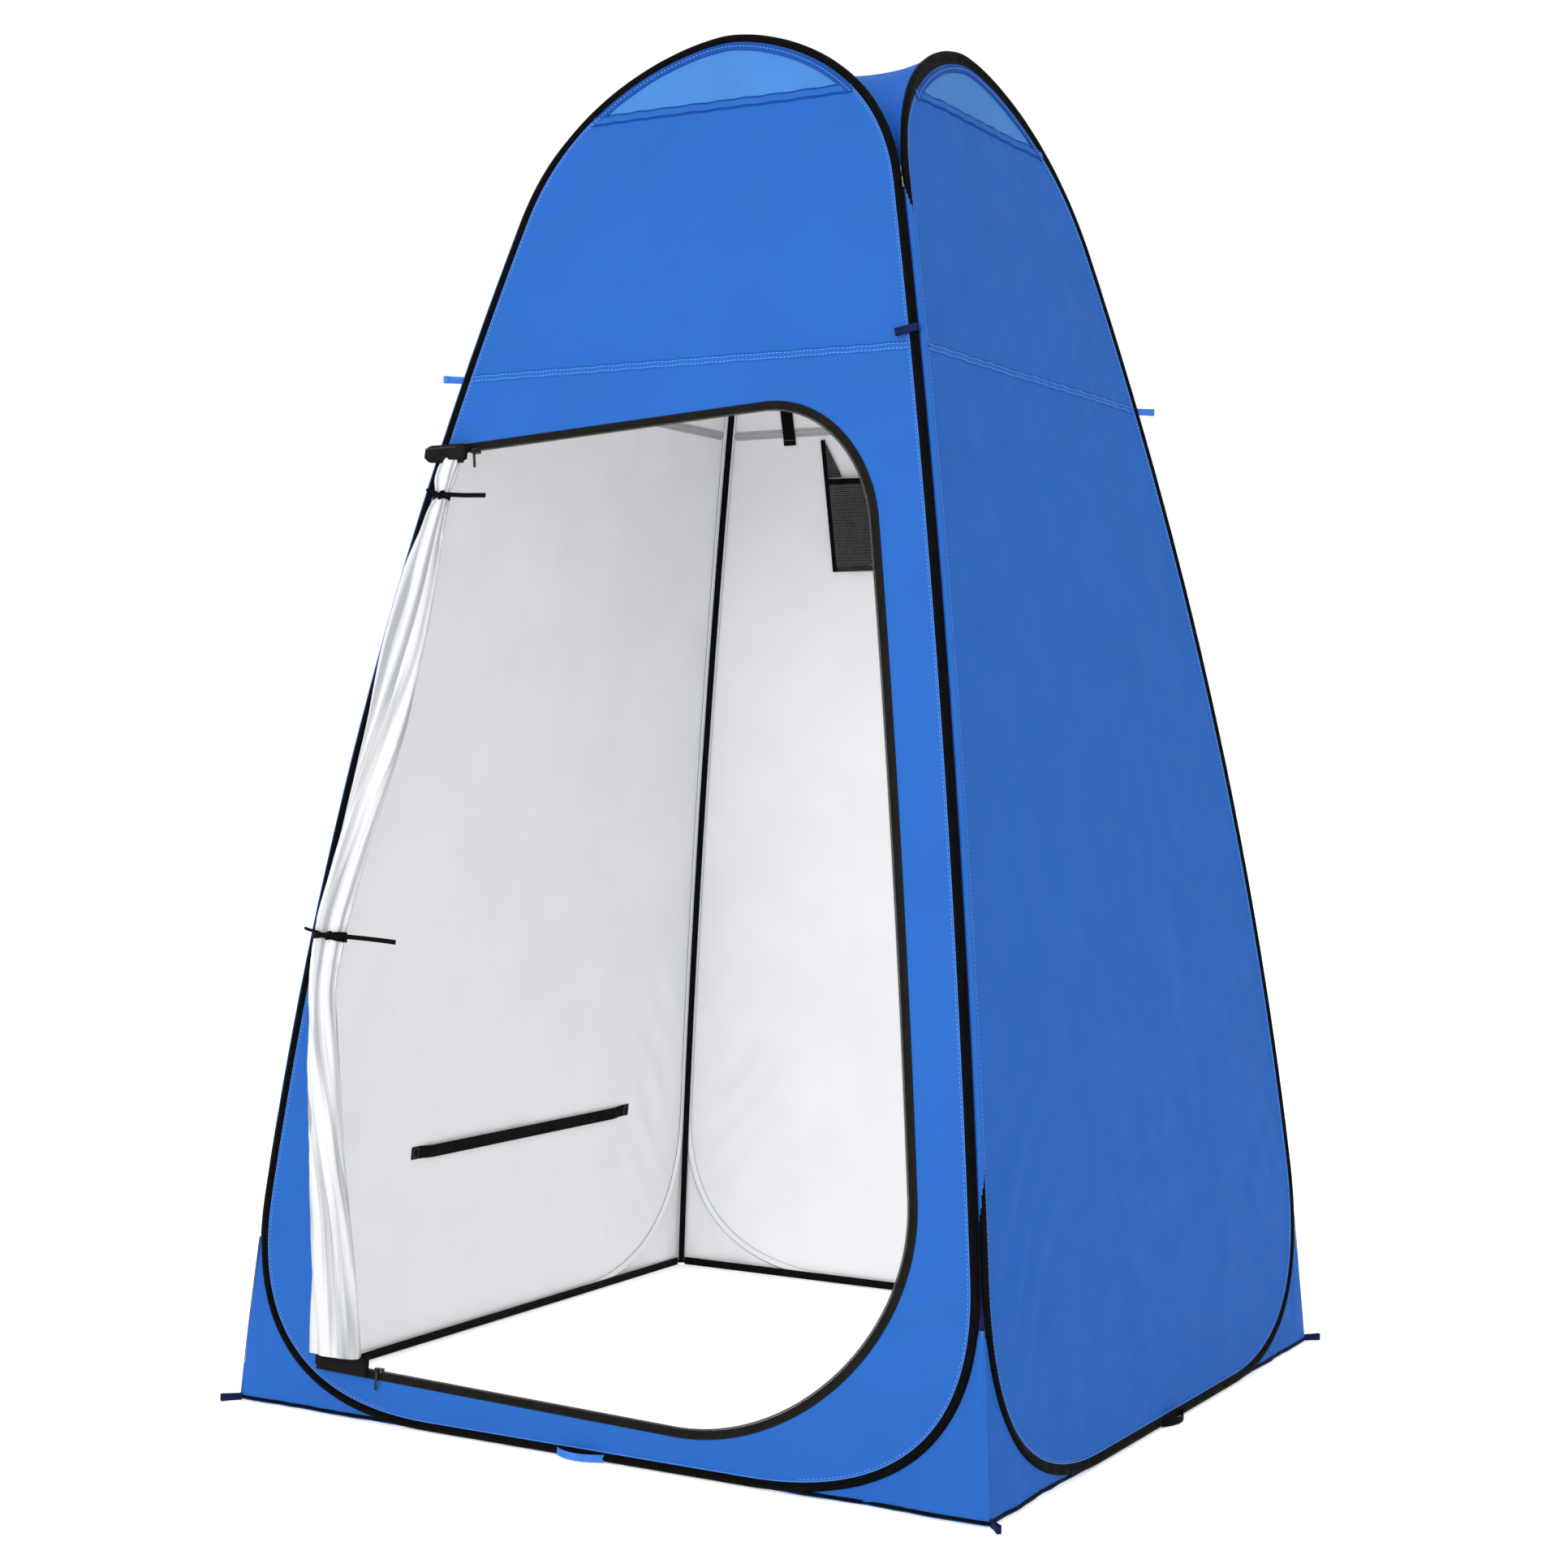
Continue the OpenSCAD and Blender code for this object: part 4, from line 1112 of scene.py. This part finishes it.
def tie_back(name, z, tail, droop):
    """Tape wrapped round the bundle and knotted, with a long end to the right and a short one to the left."""
    middle, half = (float(v[0]) for v in roll_span(np.array([z])))
    across, depth = half + 0.0012, half * ROLL_DEPTH_SHARE + 0.0012
    centre_out = half * ROLL_DEPTH_SHARE
    piece = Piece(name + "_tape", BLACK_WEB)
    for lean, swell in ((0.10, 0.0), (-0.16, 0.0008)):
        turn = np.linspace(0, 2.08 * math.pi, 44)
        x = middle + (across + swell) * np.cos(turn)
        out = centre_out + (depth + swell) * np.sin(turn)
        height = z + lean * (x - middle)
        wall_ribbon(piece, 0, x, height, out, TIE_W * 0.9, TAPE_T)
    knot_x = middle + across * 0.35
    knot_out = centre_out + depth * 0.95
    turn = np.linspace(0, 2.05 * math.pi, 20)
    x = knot_x + 0.0012 * np.sin(turn)
    out = knot_out + 0.0024 * np.cos(turn)
    height = z + 0.0058 * np.sin(turn)
    ribbon(piece, on_wall(0, x, height, out), (1, 0, 0.15), TIE_W * 0.8, TAPE_T)
    t = np.linspace(0, 1, 14)
    x = knot_x + t * (middle + half + tail - knot_x)
    height = z - droop * t**2
    out = knot_out * (1 - 0.5 * smoothstep(0, 0.6, t)) + 0.001
    wall_ribbon(piece, 0, x, height, out, TIE_W * 0.85, TAPE_T)
    x = middle - half * 0.2 - t * (half * 0.8 + 0.012)
    height = z + 0.003 + 0.006 * t
    out = centre_out + depth * np.sqrt(np.clip(1 - (t * 0.85) ** 2, 0, 1)) + 0.002
    wall_ribbon(piece, 0, x, height, out, TIE_W * 0.6, TAPE_T)
    piece.build("front_wall", "black_webbing", [name])


# ---- straps, loops and the pocket ----


BAR_TACK = {"pitch": 0.003, "length": 0.002, "radius": 0.0003}


def towel_strap():
    """Strap along the inside of the left wall, sewn down at its ends."""
    x = np.linspace(-0.380, 0.236, 60)
    off = smoothstep(0, 0.035, 0.308 - np.abs(x + 0.072) - 0.018)
    z = 0.312 - 0.001 * off
    out = -FABRIC_T - 0.0012 - 0.0035 * off
    piece = Piece("towel_strap_webbing", BLACK_WEB, GREY_THREAD)
    wall_ribbon(piece, 3, x, z, out, 0.020, 0.0014)
    for end in (-0.371, 0.227):
        box = np.array([(-0.006, -0.007), (0.006, -0.007), (0.006, 0.007), (-0.006, 0.007)]) + [end, 0.312]
        stitches(piece, 3, resampled(box, 0.003, True), -FABRIC_T - 0.0028, slot=1, **BAR_TACK)
    piece.build("left_wall", "black_webbing", ["towel_strap"])


def hanging_strap():
    """Short strap that hangs flat down the inside of the back wall."""
    z = np.linspace(1.590, 1.470, 24)
    x = np.full(len(z), 0.255)
    out = -FABRIC_T - 0.0022 + 0.0006 * np.sin(z * 90)
    piece = Piece("hanging_strap_webbing", BLACK_WEB, GREY_THREAD)
    ribbon(piece, on_wall(2, x, z, out), turned(2, (1, 0, 0)), 0.023, 0.0014)
    row = np.array([(0.246, 1.583), (0.264, 1.583)])
    for drop in (0, 0.006, 0.104):
        stitches(piece, 2, row - [0, drop], -FABRIC_T - 0.0034, slot=1, **BAR_TACK)
    piece.build("back_wall", "black_webbing", ["hanging_strap"])


def pocket():
    """Slack mesh bag with bound edges, open at the top."""
    columns, rows = 41, 31
    u = np.linspace(0, 1, columns)[None, :]
    v = np.linspace(0, 1, rows)[:, None]
    x = POCKET_LEFT + (POCKET_RIGHT - POCKET_LEFT) * u + 0 * v
    z = POCKET_LOW + (POCKET_TOP - POCKET_LOW) * v + 0 * u
    deepest = np.sin(math.pi * np.minimum(v * 0.62 + 0.12, 1))
    full = np.sin(math.pi * u) ** 0.6 * (0.35 + 0.65 * deepest)
    sag = 0.0020 * ripple(x * 1.6, z, 0.05, 201) + 0.0012 * ripple(x, z * 1.8, 0.025, 207)
    lining = -FABRIC_T - 0.0015
    out = lining - 0.0145 * full + sag * full
    flat = np.stack([x, z], axis=-1).reshape(-1, 2)
    spots = on_wall(2, x, z, out).reshape(-1, 3)
    inward = np.array(turned(2, (0, 1, 0)))
    piece = Piece("pocket_net_bag", NET, NET)
    cloth(piece, lambda lift: spots - lift * inward, flat, grid_faces(rows, columns), 0.0006)
    gusset = np.array([(0.187, 1.413), (0.187, 1.474), (0.160, 1.413)])
    points, faces = sheet_mesh(gusset, [], 0.008)
    cloth(piece, lambda lift: on_wall(2, *points.T, lining + lift), points, faces, 0.0006)
    made = piece.build("back_wall", "mesh", ["pocket_mesh"])
    binding = Piece("pocket_binding_tape", BLACK_WEB)
    bound = -FABRIC_T - 0.0020
    rim = on_wall(2, x[-1], z[-1] - 0.004, out[-1] - 0.0008)
    ribbon(binding, rim, up_the_wall(2, x[-1], z[-1], out[-1]), 0.010, 0.0016)
    for at, high in ((0.1905, 1.476), (POCKET_LEFT - 0.002, POCKET_TOP)):
        heights = np.linspace(POCKET_LOW, high, 30)
        line = on_wall(2, np.full(30, at), heights, bound)
        ribbon(binding, line, turned(2, (1, 0, 0)), 0.008, 0.0022)
    ends = np.linspace(POCKET_LEFT - 0.004, 0.194, 24)
    base = np.full(24, POCKET_LOW + 0.003)
    ribbon(binding, on_wall(2, ends, base, bound), up_the_wall(2, ends, base, 0), 0.008, 0.0024)
    binding.build("back_wall", "black_webbing", ["pocket_binding"])


LOOP_W = 0.010


def webbing_loop(name, body, node, root, way, width_way, material, length=0.030):
    """Loop of webbing that leaves the tent at root and comes back on itself."""
    root, way, width_way = Vector(root), Vector(way).normalized(), Vector(width_way).normalized()
    aside = way.cross(width_way)
    eye, gap = 0.0030, 0.0009
    straight = length - eye
    t = np.linspace(0, 1, 9)
    points = [root + way * v * straight + aside * (gap + (eye - gap) * v**3) for v in t]
    points += [
        root + way * (straight + eye * math.sin(a)) + aside * eye * math.cos(a)
        for a in np.linspace(0.3, math.pi - 0.3, 7)
    ]
    points += [root + way * v * straight - aside * (gap + (eye - gap) * v**3) for v in t[::-1]]
    piece = Piece(name, material)
    ribbon(piece, [tuple(p) for p in points], width_way, LOOP_W, 0.0014)
    piece.build(body, "loop_webbing", [node])


def corner_loops():
    """A loop on the ground and one at the main seam at each corner."""
    seam_reach, foot_reach = float(reach(SEAM_Z)), float(reach(0))
    up = (0, 0, 1)
    for k, corner in enumerate(CORNERS):
        body = f"{WALLS[(k + 1) % 4]}_wall"
        outward = turned(k, (1, -1, 0))
        node = f"{corner}_stake_loop"
        ground = turned(k, (foot_reach, -foot_reach + 0.006, 0)) + Vector((0, 0, 0.005))
        webbing_loop(f"{node}_web", body, node, ground, outward, up, NAVY_WEB)
        if corner == "front_right":
            continue
        node = f"{corner}_guy_loop"
        aside = turned(k, (-0.0021, -0.0021, 0))
        root = turned(k, (seam_reach - 0.002, -seam_reach + 0.002, SEAM_Z)) + aside
        webbing_loop(f"{node}_web", body, node, root, outward, up, BLUE_WEB)
    # The near corner's upper loop lies folded over the front wall
    node = "front_right_guy_loop"
    root = on_wall(0, seam_reach - 0.004, SEAM_Z + 0.022, SLEEVE_R + 0.0030)
    webbing_loop(f"{node}_web", "front_wall", node, root, (-1, 0, -0.17), (-0.17, 0, 1), NAVY_WEB, 0.034)


def stake_strap(wall):
    """Strap that bows out from the foot of a wall and lies on the ground."""
    side = WALLS[wall]
    half = 0.0375
    x = np.linspace(-half, half, 26)
    y = -float(reach(0)) - 0.0025 - 0.0135 * np.cos(x / half * math.pi / 2) ** 0.8
    points = np.stack([x, y, np.full(len(x), 0.0052)], axis=1) @ np.array(turn_to(wall)).T
    piece = Piece(f"{side}_stake_strap", BLUE_WEB if side == "front" else BLACK_WEB)
    ribbon(piece, points, (0, 0, 1), 0.010, 0.0015)
    piece.build(f"{side}_wall", "loop_webbing", [f"{side}_stake_loop"])


def repainted(node, material, bevel=0.0):
    """Gives a CAD node its finish, and softens its edges."""
    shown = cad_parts[node]
    shown.data.materials.clear()
    shown.data.materials.append(material)
    if bevel:
        soft = shown.modifiers.new("soft_edges", "BEVEL")
        soft.width, soft.segments, soft.limit_method = bevel, 2, "ANGLE"


for number, wall_name in enumerate(WALLS):
    for part_name in PANELS:
        panel(number, part_name)
    sleeve(number)
    seams(number)
    crown_gore(number)
    skirt(number)
    corner_bindings(number)
    ground_hem(number)
    stake_strap(number)
    repainted(f"{wall_name}_hoop", STEEL)
corner_loops()
zip_fastener()
tape_stack("door_zip_top_fold", "door_tape_top_fold", -0.415, -0.343, 1.375, 0.024, 0.0065, 0.0185, 4)
tape_stack("door_zip_bottom_fold", "door_tape_bottom_fold", -0.452, -0.362, 0.078, 0.022, 0.003, 0.015, 4)
tie_back("upper_tie_back", UPPER_TIE_Z, 0.068, 0.002)
tie_back("lower_tie_back", LOWER_TIE_Z, 0.094, 0.004)
towel_strap()
hanging_strap()
pocket()
for zip_part in ("upper_slider", "upper_pull", "lower_slider", "lower_pull"):
    repainted(zip_part, SLIDER, 0.0004)

# ---- camera, light and floor ----


def photograph_camera():
    """Camera at the photograph's angle, with its small roll."""
    data = bpy.data.cameras.new("camera")
    data.sensor_width = 36
    data.lens = 59.65
    made = bpy.data.objects.new("camera", data)
    bpy.context.scene.collection.objects.link(made)
    azimuth, elevation, roll = (math.radians(v) for v in (29.81, 0.63, 0.56))
    back = Vector((
        math.sin(azimuth) * math.cos(elevation),
        -math.cos(azimuth) * math.cos(elevation),
        math.sin(elevation),
    ))
    level = Vector((math.cos(azimuth), math.sin(azimuth), 0))
    upright = back.cross(level)
    right = level * math.cos(roll) + upright * math.sin(roll)
    up = upright * math.cos(roll) - level * math.sin(roll)
    turn = Matrix((right, up, back)).transposed().to_4x4()
    made.matrix_world = Matrix.Translation((1.947, -3.472, 0.941)) @ turn
    bpy.context.scene.camera = made


def area_light(name, place, target, size, watts):
    data = bpy.data.lights.new(name, "AREA")
    data.shape = "DISK"
    data.size = size
    data.energy = watts
    made = bpy.data.objects.new(name, data)
    made.location = place
    made.rotation_mode = "QUATERNION"
    made.rotation_quaternion = (Vector(target) - Vector(place)).to_track_quat("-Z", "Y")
    bpy.context.scene.collection.objects.link(made)


def studio():
    """Plain white surroundings and floor, with one large soft key from the front.
    The floor's glow keeps it white inside the tent too."""
    scene = bpy.context.scene
    scene.view_settings.view_transform = "Standard"
    world = bpy.data.worlds.new("studio")
    world.use_nodes = True
    world.node_tree.nodes["Background"].inputs["Color"].default_value = (1, 1, 1, 1)
    world.node_tree.nodes["Background"].inputs["Strength"].default_value = 1.0
    scene.world = world
    area_light("key", (0.2, -4.6, 2.4), (0, 0, 0.9), 2.4, 85)
    floor = Shader("floor_paper", 0.9, specular=0.1)
    floor.coloured(floor.noise(3), (0.93, 0.93, 0.93), (0.96, 0.96, 0.96))
    floor.bsdf.inputs["Emission Color"].default_value = (1, 1, 1, 1)
    floor.bsdf.inputs["Emission Strength"].default_value = 0.45
    mesh = bpy.data.meshes.new("floor")
    far, level = 40, -0.0015
    corners = [(-far, -far, level), (far, -far, level), (far, far, level), (-far, far, level)]
    mesh.from_pydata(corners, [], [(0, 1, 2, 3)])
    mesh.materials.append(floor.material)
    made = bpy.data.objects.new("floor", mesh)
    scene.collection.objects.link(made)


photograph_camera()
studio()
